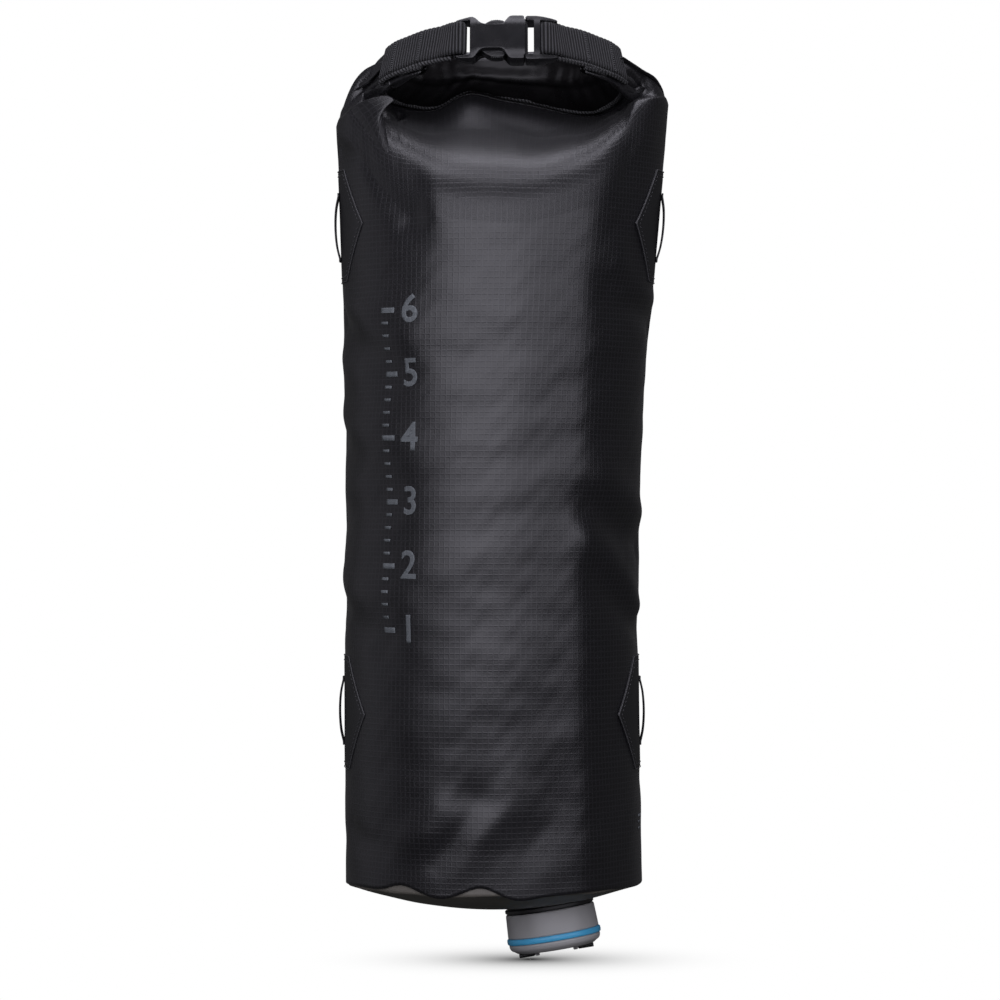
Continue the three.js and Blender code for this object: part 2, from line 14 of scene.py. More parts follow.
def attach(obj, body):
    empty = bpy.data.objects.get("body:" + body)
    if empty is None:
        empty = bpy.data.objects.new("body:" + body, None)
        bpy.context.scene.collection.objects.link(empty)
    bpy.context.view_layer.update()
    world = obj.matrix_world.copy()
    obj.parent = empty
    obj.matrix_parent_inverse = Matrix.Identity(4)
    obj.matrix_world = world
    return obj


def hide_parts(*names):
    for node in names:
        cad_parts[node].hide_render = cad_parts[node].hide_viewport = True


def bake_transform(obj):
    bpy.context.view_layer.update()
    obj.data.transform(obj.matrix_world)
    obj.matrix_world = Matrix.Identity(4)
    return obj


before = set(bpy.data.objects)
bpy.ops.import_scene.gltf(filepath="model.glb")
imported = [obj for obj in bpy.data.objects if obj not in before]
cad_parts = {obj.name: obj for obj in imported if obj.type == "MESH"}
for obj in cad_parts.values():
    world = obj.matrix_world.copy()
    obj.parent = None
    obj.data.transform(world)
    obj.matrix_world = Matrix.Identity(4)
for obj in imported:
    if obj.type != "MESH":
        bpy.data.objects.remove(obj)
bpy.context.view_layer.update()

MM = 0.001
TAU = 2 * math.pi
FRONT = 1.5 * math.pi
RING_HEIGHT = 452
RADIUS = 74  # of the wall: turns an angle into a length of cloth
DEGREE = 1.29  # of cloth in one degree round the bag
RIPSTOP = 2.7
RIPSTOP_THREAD = 0.42
RIB = 1.64  # from one rib of the webbing to the next


def add_object(name, data):
    piece = bpy.data.objects.new(name, data)
    bpy.context.scene.collection.objects.link(piece)
    return piece


# --- Camera: level, 1.8 m in front ---
def add_camera():
    data = bpy.data.cameras.new("camera")
    data.lens = 129.6
    data.sensor_width = 36
    camera = add_object("camera", data)
    camera.location = (-0.0015, -1.8, -0.223)
    camera.rotation_euler = (math.radians(90), 0, 0)
    bpy.context.scene.camera = camera


add_camera()


# --- Small mathematics ---
def z_of(height):
    return height - RING_HEIGHT


def clamp01(t):
    return np.clip(t, 0, 1)


def smooth(t):
    t = clamp01(t)
    return t * t * (3 - 2 * t)


def bell(distance, width):
    return np.exp(-((distance / width) ** 2))


def through(t, knots, values):
    """A smooth curve through the values at the knots (Catmull-Rom), for an array t."""
    knots = np.asarray(knots, float)
    values = np.asarray(values, float)
    slopes = np.gradient(values, knots, axis=0)
    i = np.clip(np.searchsorted(knots, t, side="right") - 1, 0, len(knots) - 2)
    span = knots[i + 1] - knots[i]
    s = clamp01((t - knots[i]) / span)
    extra = (1,) * (values.ndim - 1)
    s = s.reshape(s.shape + extra)
    span = span.reshape(span.shape + extra)
    h00 = 2 * s**3 - 3 * s**2 + 1
    h10 = s**3 - 2 * s**2 + s
    h01 = -2 * s**3 + 3 * s**2
    h11 = s**3 - s**2
    return h00 * values[i] + h10 * span * slopes[i] + h01 * values[i + 1] + h11 * span * slopes[i + 1]


def unit(v):
    return v / np.maximum(np.linalg.norm(v, axis=-1, keepdims=True), 1e-12)


def circle(count):
    """This many angles, evenly round a full turn."""
    return np.arange(count) * TAU / count


def run_length(path):
    """The length along a path up to each of its points."""
    return np.concatenate([[0], np.cumsum(np.linalg.norm(np.diff(path, axis=0), axis=1))])


def ripple(x, y, seed, waves=7, longest=60.0, shortest=14.0):
    """Smooth seeded noise of about -1 to 1, from a sum of plane waves. Lengths are millimetres."""
    rng = np.random.default_rng(seed)
    total = np.zeros(np.broadcast(x, y).shape)
    for _ in range(waves):
        length = rng.uniform(shortest, longest)
        heading = rng.uniform(0, math.pi)
        phase = rng.uniform(0, TAU)
        total += np.sin(TAU * (x * math.cos(heading) + y * math.sin(heading)) / length + phase)
    return total / math.sqrt(waves)


# --- Meshes ---
def add_mesh(name, points, faces, material, cloth=None):
    """A smooth mesh object from millimetre points. cloth holds each point's place on the flat fabric."""
    mesh = bpy.data.meshes.new(name)
    mesh.from_pydata((np.asarray(points, float) * MM).tolist(), [], [list(map(int, f)) for f in faces])
    mesh.validate()
    if cloth is not None:
        layer = mesh.attributes.new("cloth", "FLOAT_VECTOR", "POINT")
        padded = np.zeros((len(mesh.vertices), 3), np.float32)
        padded[:, :2] = np.asarray(cloth, float).reshape(-1, 2)
        layer.data.foreach_set("vector", padded.ravel())
    mesh.materials.append(material)
    mesh.polygons.foreach_set("use_smooth", [True] * len(mesh.polygons))
    return add_object(name, mesh)


def add_built(name, bm, *materials):
    """An object from a bmesh, which is freed."""
    mesh = bpy.data.meshes.new(name)
    bm.to_mesh(mesh)
    bm.free()
    for material in materials:
        mesh.materials.append(material)
    return add_object(name, mesh)


def thicken(piece, thickness, offset=-1):
    shell = piece.modifiers.new("thickness", "SOLIDIFY")
    shell.thickness = thickness * MM
    shell.offset = offset


def grid_faces(rows, columns, closed):
    r, c = np.meshgrid(np.arange(rows - 1), np.arange(columns if closed else columns - 1), indexing="ij")
    near = r * columns + c
    beside = r * columns + (c + 1) % columns
    return np.stack([near, beside, beside + columns, near + columns], -1).reshape(-1, 4)


def grid_sheet(name, points, material, thickness, cloth, closed=False, offset=-1):
    """A sheet over a rows x columns grid of points, made thick by a Solidify modifier."""
    rows, columns = points.shape[:2]
    piece = add_mesh(name, points.reshape(-1, 3), grid_faces(rows, columns, closed), material, cloth)
    thicken(piece, thickness, offset)
    return piece


def loop_bar(name, rings, material, cloth=None, closed=False):
    """A closed bar through rings of points: steps x corners, with its ends filled."""
    steps, corners = rings.shape[:2]
    faces = [list(f) for f in grid_faces(steps, corners, True)]
    if closed:
        last = (steps - 1) * corners
        for i in range(corners):
            faces.append([last + i, last + (i + 1) % corners, (i + 1) % corners, i])
    else:
        faces.append(list(range(corners))[::-1])
        faces.append([(steps - 1) * corners + i for i in range(corners)])
    piece = add_mesh(name, rings.reshape(-1, 3), faces, material, cloth)
    face_outwards(piece)
    return piece


def face_outwards(piece):
    bm = bmesh.new()
    bm.from_mesh(piece.data)
    bmesh.ops.recalc_face_normals(bm, faces=bm.faces)
    bm.to_mesh(piece.data)
    bm.free()


def turned(name, profile, material, segments=128):
    """A piece turned around +Z from [radius, z] points that close on themselves or on the axis."""
    profile = np.asarray(profile, float)
    angles = circle(segments)
    bm = bmesh.new()
    rings = []
    for radius, z in profile:
        if radius < 1e-6:
            rings.append([bm.verts.new((0, 0, z * MM))])
        else:
            rings.append([bm.verts.new((radius * math.cos(a) * MM, radius * math.sin(a) * MM, z * MM))
                          for a in angles])
    pairs = list(zip(rings, rings[1:]))
    if profile[0][0] > 1e-6 and profile[-1][0] > 1e-6:
        pairs.append((rings[-1], rings[0]))
    for low, high in pairs:
        for i in range(segments):
            j = (i + 1) % segments
            corners = [low[i % len(low)], low[j % len(low)], high[j % len(high)], high[i % len(high)]]
            distinct = list(dict.fromkeys(corners))
            if len(distinct) > 2:
                bm.faces.new(distinct)
    bmesh.ops.recalc_face_normals(bm, faces=bm.faces)
    piece = add_built(name, bm, material)
    soften(piece)
    return piece


def soften(piece, angle=35):
    """Smooth shading, with edges sharper than the angle kept crisp."""
    mesh = piece.data
    mesh.polygons.foreach_set("use_smooth", [True] * len(mesh.polygons))
    mesh.set_sharp_from_angle(angle=math.radians(angle))


def apply_modifiers(piece):
    bpy.context.view_layer.update()
    depsgraph = bpy.context.evaluated_depsgraph_get()
    made = bpy.data.meshes.new_from_object(piece.evaluated_get(depsgraph))
    piece.modifiers.clear()
    old = piece.data
    piece.data = made
    bpy.data.meshes.remove(old)


def plate(name, outline, thickness, material, rounding):
    """A flat bar: an outline in X and Z, thick along Y, with rounded edges unless rounding is 0."""
    bm = bmesh.new()
    front = [bm.verts.new((x * MM, -thickness / 2 * MM, z * MM)) for x, z in outline]
    back = [bm.verts.new((x * MM, thickness / 2 * MM, z * MM)) for x, z in outline]
    bm.faces.new(front)
    bm.faces.new(back[::-1])
    for i in range(len(outline)):
        j = (i + 1) % len(outline)
        bm.faces.new([front[j], front[i], back[i], back[j]])
    bmesh.ops.recalc_face_normals(bm, faces=bm.faces)
    piece = add_built(name, bm, material)
    if rounding:
        bevel(piece, rounding)
    return piece


def bevel(piece, width, angle=30):
    modifier = piece.modifiers.new("rounded edges", "BEVEL")
    modifier.width = width * MM
    modifier.segments = 3
    modifier.limit_method = "ANGLE"
    modifier.angle_limit = math.radians(angle)
    modifier.harden_normals = False


def cut_across(bm, axis, positions, scale=1):
    """Adds edges where planes across an axis cut a bmesh, at these positions times the scale."""
    normal = Vector([float(i == axis) for i in range(3)])
    for position in positions:
        everything = bm.verts[:] + bm.edges[:] + bm.faces[:]
        bmesh.ops.bisect_plane(bm, geom=everything, plane_co=normal * position * scale, plane_no=normal)


def carve(piece, boxes):
    """Cuts boxes given as x0, x1, y0, y1, z0, z1 out of a piece."""
    for x0, x1, y0, y1, z0, z1 in boxes:
        outline = [(x0, z0), (x1, z0), (x1, z1), (x0, z1)]
        tool = plate("tool", outline, y1 - y0, piece.data.materials[0], rounding=0)
        tool.location.y = (y0 + y1) / 2 * MM
        cutter = piece.modifiers.new("cut", "BOOLEAN")
        cutter.operation = "DIFFERENCE"
        cutter.solver = "EXACT"
        cutter.object = tool
        apply_modifiers(piece)
        bpy.data.objects.remove(tool)


def joined(name, pieces):
    """One object from several, modifiers applied."""
    bm = bmesh.new()
    materials = []
    for piece in pieces:
        if piece.modifiers:
            apply_modifiers(piece)
        mesh = piece.data
        mesh.transform(piece.matrix_basis)
        for polygon in mesh.polygons:
            polygon.material_index += len(materials)
        bm.from_mesh(mesh)
        materials += list(mesh.materials)
    result = add_built(name, bm, *materials)
    for piece in pieces:
        bpy.data.objects.remove(piece)
    return result


def rounded_section(count, half_width, half_height, width_power, height_power):
    """Corners round a rectangle with rounded corners. Smaller powers make it squarer."""
    corners = []
    for i in range(count):
        c = math.cos(TAU * i / count)
        s = math.sin(TAU * i / count)
        corners.append((half_width * np.sign(c) * abs(c) ** width_power,
                        half_height * np.sign(s) * abs(s) ** height_power))
    return corners


def settle(piece, body, slot, *nodes):
    """The piece rides a body and stands for CAD nodes, which are hidden. The slot is not used."""
    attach(piece, body)
    if nodes:
        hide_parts(*nodes)


def fit(piece, matrix, body, slot, *nodes):
    """Moves a piece from its own frame to its place, and settles it there."""
    piece.data.transform(matrix)
    settle(piece, body, slot, *nodes)


# --- Materials ---
class Nodes:
    """Short names for building a material's nodes."""

    def __init__(self, name, color, roughness, specular):
        self.material = bpy.data.materials.new(name)
        self.material.use_nodes = True
        self.tree = self.material.node_tree
        self.shader = self.tree.nodes["Principled BSDF"]
        self.shader.inputs["Roughness"].default_value = roughness
        self.shader.inputs["Specular IOR Level"].default_value = specular
        self.shader.inputs["Base Color"].default_value = (*color, 1)

    def add(self, kind, **settings):
        node = self.tree.nodes.new(kind)
        for key, value in settings.items():
            setattr(node, key, value)
        return node

    def link(self, source, target):
        self.tree.links.new(source, target)

    def math(self, operation, first, second=None):
        node = self.add("ShaderNodeMath", operation=operation)
        for socket, value in zip(node.inputs, (first, second)):
            if isinstance(value, (int, float)):
                socket.default_value = value
            elif value is not None:
                self.link(value, socket)
        return node.outputs[0]

    def noise(self, scale, detail):
        node = self.add("ShaderNodeTexNoise")
        node.inputs["Scale"].default_value = scale
        node.inputs["Detail"].default_value = detail
        self.link(self.place(), node.inputs["Vector"])
        return node.outputs["Fac"]

    def place(self):
        return self.add("ShaderNodeTexCoord").outputs["Object"]

    def cloth(self):
        """The two lengths on the flat fabric, in millimetres."""
        node = self.add("ShaderNodeAttribute", attribute_name="cloth")
        parts = self.add("ShaderNodeSeparateXYZ")
        self.link(node.outputs["Vector"], parts.inputs[0])
        return parts.outputs[0], parts.outputs[1]

    def lines(self, length, period, width):
        """1 on a thin line every period, 0 between."""
        share = self.math("FRACT", self.math("DIVIDE", length, period))
        distance = self.math("ABSOLUTE", self.math("SUBTRACT", share, 0.5))
        mask = self.add("ShaderNodeMapRange", interpolation_type="SMOOTHSTEP")
        self.link(distance, mask.inputs["Value"])
        mask.inputs["From Min"].default_value = width / period
        mask.inputs["From Max"].default_value = 0.35 * width / period
        return mask.outputs["Result"]

    def ripstop_grid(self, u, v):
        """1 on the heavier threads of the ripstop, 0 between."""
        threads = [self.lines(length, RIPSTOP, RIPSTOP_THREAD) for length in (u, v)]
        return self.math("MAXIMUM", *threads)

    def weave(self, u, v, period):
        """The over and under of a plain weave."""
        waves = [self.math("SINE", self.math("MULTIPLY", length, TAU / period)) for length in (u, v)]
        return self.math("MULTIPLY", *waves)

    def tint(self, mask, low, high):
        """Base colour between two colours."""
        mix = self.add("ShaderNodeMix", data_type="RGBA")
        self.link(mask, mix.inputs["Factor"])
        mix.inputs["A"].default_value = (*low, 1)
        mix.inputs["B"].default_value = (*high, 1)
        return mix.outputs["Result"]

    def color(self, socket):
        self.link(socket, self.shader.inputs["Base Color"])

    def rough(self, mask, low, high):
        spread = self.add("ShaderNodeMapRange")
        self.link(mask, spread.inputs["Value"])
        spread.inputs["To Min"].default_value = low
        spread.inputs["To Max"].default_value = high
        self.link(spread.outputs["Result"], self.shader.inputs["Roughness"])

    def bump(self, height, depth_mm, strength=1.0):
        node = self.add("ShaderNodeBump")
        node.inputs["Strength"].default_value = strength
        node.inputs["Distance"].default_value = depth_mm * MM
        self.link(height, node.inputs["Height"])
        previous = self.shader.inputs["Normal"]
        if previous.is_linked:
            self.link(previous.links[0].from_socket, node.inputs["Normal"])
        self.link(node.outputs["Normal"], previous)


def ripstop(name, color, line_color, roughness):
    """Coated ripstop: a raised grid of heavier threads over a fine weave, with an uneven coating."""
    n = Nodes(name, color, roughness, 0.55)
    u, v = n.cloth()
    grid = n.ripstop_grid(u, v)
    weave = n.weave(u, v, 0.62)
    cloud = n.noise(38, 4)
    grain = n.noise(900, 2)
    threads = n.math("ADD", n.math("MULTIPLY", grid, 0.5), n.math("MULTIPLY", grain, 0.6))
    n.color(n.tint(threads, color, line_color))
    n.rough(cloud, roughness - 0.05, roughness + 0.08)
    n.bump(n.math("ADD", grid, n.math("MULTIPLY", weave, 0.25)), 0.06, 0.6)
    n.bump(n.noise(260, 3), 0.12, 0.35)
    n.shader.inputs["Sheen Weight"].default_value = 0.03
    n.shader.inputs["Sheen Roughness"].default_value = 0.4
    return n.material


def coated(name, color, high, roughness, bump_mm=0.1, scale=300, specular=0.5):
    """Smooth coated fabric with a faint weave."""
    n = Nodes(name, color, roughness, specular)
    n.color(n.tint(n.noise(120, 4), color, high))
    n.rough(n.noise(60, 3), roughness - 0.06, roughness + 0.08)
    n.bump(n.weave(*n.cloth(), 0.8), 0.03, 0.5)
    n.bump(n.noise(scale, 3), bump_mm, 0.4)
    return n.material


def webbing_material(name, color, high):
    """Woven webbing: ribs across it and single yarns along them, with painted shade in the grooves between
    the ribs and painted highlight on their crowns.
    """
    n = Nodes(name, color, 0.7, 0.2)
    u, v = n.cloth()
    yarn = n.math("SINE", n.math("MULTIPLY", v, TAU / 0.55))
    rib = n.math("ABSOLUTE", n.math("SINE", n.math("MULTIPLY", u, math.pi / RIB)))
    crown = n.math("POWER", rib, 3.0)
    fuzz = n.noise(1500, 2)
    # The tint runs from near black in the grooves to grey on the rib crowns: painted shade and painted
    # highlight on black webbing.
    n.color(n.tint(n.math("MULTIPLY", crown, n.math("ADD", n.math("MULTIPLY", fuzz, 0.9), 0.5)), color, high))
    n.rough(fuzz, 0.6, 0.8)
    n.bump(n.math("MULTIPLY", yarn, rib), 0.06, 0.8)
    n.bump(rib, 0.25, 0.9)
    n.bump(fuzz, 0.06, 0.5)
    n.shader.inputs["Sheen Weight"].default_value = 0.03
    return n.material


def cord_material(name, color, high):
    """Twisted cord: strands wound slantwise, with painted shade in the grooves between them and painted
    highlight on the strands.
    """
    n = Nodes(name, color, 0.65, 0.3)
    u, v = n.cloth()
    slant = n.math("ADD", u, n.math("MULTIPLY", v, 0.6))
    strand = n.math("ABSOLUTE", n.math("SINE", n.math("MULTIPLY", slant, math.pi / 1.9)))
    fuzz = n.noise(1800, 2)
    # Dark in the grooves and light on the strands' crowns: painted shade and painted highlight on a black
    # cord.
    n.color(n.tint(n.math("MULTIPLY", n.math("POWER", strand, 2.0), n.math("ADD", fuzz, 0.4)), color, high))
    n.rough(fuzz, 0.5, 0.75)
    n.bump(strand, 0.2, 0.9)
    n.bump(fuzz, 0.06, 0.5)
    return n.material


def plastic(name, color, high, roughness, specular=0.5):
    """Moulded plastic: fine grain, faint mottling and worn, shinier patches."""
    n = Nodes(name, color, roughness, specular)
    n.color(n.tint(n.noise(70, 5), color, high))
    n.rough(n.noise(110, 4), roughness - 0.07, roughness + 0.09)
    n.bump(n.noise(2200, 2), 0.02, 0.5)
    return n.material


def print_material(name, color, high):
    """Matt screen print with the fabric's weave showing through."""
    n = Nodes(name, color, 0.6, 0.4)
    grid = n.ripstop_grid(*n.cloth())
    wear = n.noise(700, 4)
    n.color(n.tint(n.math("ADD", n.math("MULTIPLY", grid, 0.3), wear), color, high))
    n.rough(wear, 0.5, 0.7)
    n.bump(n.math("ADD", grid, wear), 0.06, 0.5)
    return n.material


FABRIC = ripstop("coated_ripstop", (0.0018, 0.0017, 0.0024), (0.0136, 0.0133, 0.0155), 0.33)
INSIDE = coated("shiny_inside", (0.0035, 0.0032, 0.0035), (0.007, 0.0064, 0.007), 0.28,
                bump_mm=0.25, scale=120, specular=0.2)
BASE_CLOTH = coated("base_cloth", (0.090, 0.084, 0.072), (0.132, 0.123, 0.105), 0.5)
PATCH = coated("patch_cloth", (0.008, 0.008, 0.009), (0.013, 0.013, 0.0145), 0.42)
# Its dark colour is painted shade in the rib grooves, and its light colour is painted highlight on the rib
# crowns.
WEBBING = webbing_material("webbing", (0.0015, 0.0015, 0.0016), (0.050, 0.050, 0.053))
# Its dark colour is painted shade in the cord's grooves, and its light colour is painted highlight on the
# strands.
CORD = cord_material("binding", (0.002, 0.002, 0.0021), (0.075, 0.075, 0.078))
# Grey colour of the stitches' thread; on the patches' weld beads the same lighter colour is a painted
# highlight.
THREAD_AND_EDGE_HIGHLIGHT = coated("thread", (0.03, 0.03, 0.032), (0.08, 0.08, 0.084), 0.5)
BUCKLE = plastic("buckle_plastic", (0.006, 0.006, 0.007), (0.010, 0.010, 0.011), 0.25, specular=0.42)
BLACK = plastic("black_plastic", (0.010, 0.010, 0.010), (0.018, 0.018, 0.018), 0.4)
GREY = plastic("grey_plastic", (0.34, 0.339, 0.335), (0.40, 0.399, 0.394), 0.36)
BLUE = plastic("blue_plastic", (0.062, 0.39, 0.67), (0.083, 0.46, 0.77), 0.36)
SEAL = plastic("seal_rubber", (0.5, 0.5, 0.48), (0.6, 0.6, 0.58), 0.6)
INK = print_material("grey_print", (0.075, 0.085, 0.092), (0.115, 0.125, 0.132))

# --- Bag shape ---
# Angles run round the bag: 0 is the right seam, 90 degrees the back, 180 the left seam, 270 the front.
BASE_HEIGHT = 39
HEIGHTS = [39, 150, 230, 290, 330, 400, 430]
SHIFTS = [-4.5, -5.7, -5.3, -4.0, -2.8, -1.0, -0.5]
HALF_WIDTHS = [74, 73.2, 73.5, 75, 77.2, 81.5, 83.6]
HALF_DEPTHS = [74, 76, 74.6, 72.8, 71.5, 66.5, 65]
PATCH_UPPER = 365
PATCH_LOWER = 124
SHOULDER_FRONT = 399
SHOULDER_BACK = 410
SHOULDER_SIDE = 421.5
SHOULDER_TILT = 5.5
RING_WIDTH = 64
RING_DEPTH = 48
RING_BACK = -5
RING_LEAN = math.radians(27)
ROLL_START = math.radians(-52)
ROLL_END = math.radians(232)
ROLL_TOP = 456.3
ROLL_END_HEIGHT = 17.4


def shoulder_height(angle):
    s = np.sin(angle)
    side = SHOULDER_SIDE + SHOULDER_TILT * np.cos(angle)
    front = side + np.abs(s) ** 3 * (SHOULDER_FRONT - side)
    back = side + s**2 * (SHOULDER_BACK - side)
    return np.where(s < 0, front, back)


def hem_height(angle):
    """The wall's lower edge: level round the bag, gently wavy at the front where it is welded to the base."""
    x = (angle - FRONT) * RADIUS
    wave = 4.2 * bell(x + 48, 11) - 2.0 * bell(x + 26, 9) + 3.4 * bell(x + 6, 9) - 2.2 * bell(x - 12, 10)
    return BASE_HEIGHT + wave + 0.5 * np.sin(7 * angle + 1)


def ring_edge(angle):
    s = np.sin(angle)
    hump = 6.5 * bell(np.degrees(angle) - 107, 13) + 3 * bell(np.degrees(angle) - 142, 18)
    back = 432 + 2.5 * s**4 - 6.5 * np.sin(2 * angle) ** 2 + hump
    return np.where(s < 0, 432 + 10.4 * np.abs(s) ** 1.4, back)


def ring_normal(angle):
    flat = np.stack([np.cos(angle) / RING_WIDTH, np.sin(angle) / RING_DEPTH, 0 * angle], -1)
    return unit(flat)


def leaning(a, b):
    """How far out and up a place on the leaning band is: a counts through it, b counts up along it."""
    outwards = a * math.cos(RING_LEAN) - b * math.sin(RING_LEAN)
    upwards = a * math.sin(RING_LEAN) + b * math.cos(RING_LEAN)
    return outwards, upwards


def ring_point(angle, a, b):
    """A point of the ring band: a counts outwards through it, b counts up along it."""
    angle, a, b = np.broadcast_arrays(angle, a, b)
    depth = RING_BACK + RING_DEPTH * np.sin(angle)
    edge = np.stack([RING_WIDTH * np.cos(angle), depth, ring_edge(angle)], -1)
    outwards, upwards = leaning(a, b)
    point = edge + ring_normal(angle) * outwards[..., None]
    point[..., 2] += upwards - RING_HEIGHT
    return point


def roll_angle(across):
    """The angle round the ring that the roll has reached, for 0 to pi across the back of the bag."""
    return ROLL_START + (ROLL_END - ROLL_START) * across / math.pi


def from_roll_end(around):
    """Degrees round the ring to the roll's nearer end."""
    return np.degrees(np.minimum(around - ROLL_START, ROLL_END - around))


def wall_point(angle, height):
    """The bag's wall, before its folds."""
    s = np.sin(angle)
    share = clamp01((height - 230) / 190) ** 2
    facet = 1.3 * bell(np.degrees(angle) - 305, 9) - 0.7 * bell(np.degrees(angle) - 328, 12)
    x = through(height, HEIGHTS, SHIFTS) + (through(height, HEIGHTS, HALF_WIDTHS) + facet) * np.cos(angle)
    depth = through(height, HEIGHTS, HALF_DEPTHS) + facet
    y = depth * s * np.abs(s) ** (0.35 * share)
    return np.stack([x, y, z_of(height) + 0 * x], -1)


# Folds of the wall: (degrees from the front centre, height) at both ends, half width and depth, where
# a positive depth is a ridge.
FOLDS = [
    ((-78, 412), (-47, 402), 7, 2.2),
    ((-47, 402), (-26, 372), 9, 2.6),
    ((-80, 402), (-54, 396), 7, -3.2),
    ((-54, 396), (-32, 368), 8, -3.6),
    ((-75, 330), (-38, 309), 12, 2.0),
    ((-80, 317), (-46, 293), 11, -2.0),
    ((-85, 300), (-52, 287), 9, 1.2),
    ((-80, 272), (-44, 258), 11, 1.7),
    ((-85, 257), (-48, 242), 11, -1.5),
    ((-85, 222), (-44, 226), 11, -1.3),
    ((-80, 190), (-43, 177), 12, 1.9),
    ((-85, 176), (-46, 162), 11, -1.6),
    ((-60, 150), (-28, 112), 12, 0.4),
    ((-70, 66), (-40, 52), 9, -1.6),
    ((-42, 52), (-20, 78), 9, 1.2),
    ((-22, 52), (-6, 84), 8, -1.5),
    ((-14, 44), (8, 92), 8, 1.1),
    ((8, 42), (24, 84), 9, -1.2),
    ((22, 46), (44, 54), 8, 1.0),
    ((86, 332), (50, 345), 9, 1.9),
    ((84, 316), (46, 331), 9, -1.9),
    ((82, 222), (48, 238), 9, 1.9),
    ((80, 206), (40, 224), 9, -2.1),
    ((78, 176), (40, 210), 9, 2.2),
    ((84, 160), (44, 192), 9, -1.7),
    ((30, 404), (70, 384), 9, -1.4),
    ((100, 380), (150, 340), 12, -2.4),
    ((160, 396), (205, 352), 13, 2.2),
    ((-100, 372), (-150, 330), 12, -2.2),
    ((120, 250), (170, 228), 12, 1.6),
    ((-170, 210), (-118, 190), 12, -1.6),
    ((140, 120), (190, 104), 12, 1.4),
]


def fold_relief(angle, height):
    """How far the folds lift the wall, in millimetres."""
    turn = (np.degrees(angle) - 90) % 360 - 180
    relief = 0.0
    for (a0, h0), (a1, h1), width, depth in FOLDS:
        for lap in (-360, 0, 360):
            start = np.array([(a0 + lap) * DEGREE, h0])
            along = np.array([(a1 - a0) * DEGREE, h1 - h0])
            x = turn * DEGREE - start[0]
            y = height - start[1]
            t = clamp01((x * along[0] + y * along[1]) / (along @ along))
            far = np.hypot(x - t * along[0], y - t * along[1])
            relief = relief + depth * bell(far, width * (0.75 + 0.5 * t))
    low = smooth((height - BASE_HEIGHT) / 30)
    meet = smooth((180 - np.abs(turn)) / 14)
    loose = ripple(turn * DEGREE, height * 1.3, 4, 9, 80, 28) * meet
    fine = ripple(turn * DEGREE, height * 1.3, 9, 8, 26, 9) * meet
    calm = 1.0
    for patch_height in (PATCH_UPPER, PATCH_LOWER):
        reach = np.maximum(np.abs(np.abs(turn) - 90) * DEGREE / 46, np.abs(height - patch_height) / 34)
        calm = calm * (0.12 + 0.88 * smooth((reach - 0.75) / 0.5))
    return low * calm * (relief + 0.26 * loose + 0.08 * fine)


# Pinched folds between the side corners and the mouth, as seen from the front: lines of (X, height), half
# width, and how far they stand out.
PINCHES = [
    ([(-80, 417), (-75, 421), (-68.5, 428), (-61.5, 437.5), (-59.5, 443)], 2.2, 1.7),
    ([(-80, 421), (-71, 432.5), (-64.5, 442)], 2.0, -1.5),
    ([(-69, 427), (-62, 429.8), (-56, 429.6)], 1.9, 3.4),
    ([(-56, 429.6), (-60.5, 424), (-58, 420.5), (-51, 418)], 1.7, 2.9),
    ([(-54, 426), (-51.5, 422), (-52.5, 419)], 2.0, -4.2),
    ([(-74, 412), (-64, 407), (-56, 400)], 3.0, -1.8),
    ([(59, 445), (67, 437), (69, 432), (62.5, 423.5)], 2.4, 2.6),
    ([(82, 427.5), (72, 426), (62.5, 423.5), (53, 418.5)], 2.0, 1.7),
    ([(63, 436), (66, 431), (60, 426)], 2.6, -2.8),
    ([(78, 423), (68, 420), (58, 415)], 3.0, -1.6),
]


def pinched(points):
    """Points of the shoulder or the roll with the pinched folds raised on the side that faces the front."""
    x = points[..., 0]
    height = points[..., 2] + RING_HEIGHT
    lift = 0.0
    for line, width, rise in PINCHES:
        nearest = 99.0 + 0 * x
        for (x0, h0), (x1, h1) in zip(line, line[1:]):
            dx = x1 - x0
            dh = h1 - h0
            t = clamp01(((x - x0) * dx + (height - h0) * dh) / (dx**2 + dh**2))
            nearest = np.minimum(nearest, np.hypot(x - x0 - t * dx, height - h0 - t * dh))
        lift = lift + rise * bell(nearest, width)
    lift = lift * smooth((30 - points[..., 1]) / 20)
    return points + lift[..., None] * unit(np.array([0.0, -0.8, 0.6]))


def neck_point(angle, rise):
    """The closed neck under the roll: the back skin outside the ring's line, the front skin inside it."""
    across = np.where(angle <= math.pi, angle, TAU - angle)
    side = np.where(angle <= math.pi, 1.0, -1.0)
    around = roll_angle(across)
    spread = 1.9 * np.minimum(1, np.sqrt(4 * np.abs(np.sin(across))))
    x = RING_WIDTH * np.cos(around)
    y = RING_BACK + RING_DEPTH * np.sin(around)
    from_end = from_roll_end(around)
    tall = (1.5 + 5 * smooth(from_end / 40)) * np.where(side < 0, 0.3, 1.0)
    z = z_of(ring_edge(around)) - 0.5 - tall * (1 - rise)
    spread = spread + (side < 0) * 2.6 * rise * smooth(from_end / 30)
    z = z - 0.8 * (side < 0) * rise
    return np.stack([x, y, z], -1) + ring_normal(around) * (side * spread)[..., None]


def bag_surface(angle, level):
    """Level 0 to 1 is the wall, 1 to 2 the shoulder, 2 to 3 the neck, for arrays of the same shape.

    The shoulder line is a sharp crease at the sides and rounds off towards the middle of the front.
    """
    soft = smooth((-np.sin(angle) - 0.25) / 0.6)
    below = 0.002 + 0.10 * soft
    above = 0.01 + 0.55 * soft
    t = ((level - 1 + below) / (below + above))[..., None]
    rounded = ((1 - t) ** 2 * folded_surface(angle, 1 - below)
               + 2 * t * (1 - t) * folded_surface(angle, 1 + 0 * level)
               + t**2 * folded_surface(angle, 1 + above))
    turning = (t > 0) & (t < 1)
    return np.where(turning, rounded, folded_surface(angle, level))


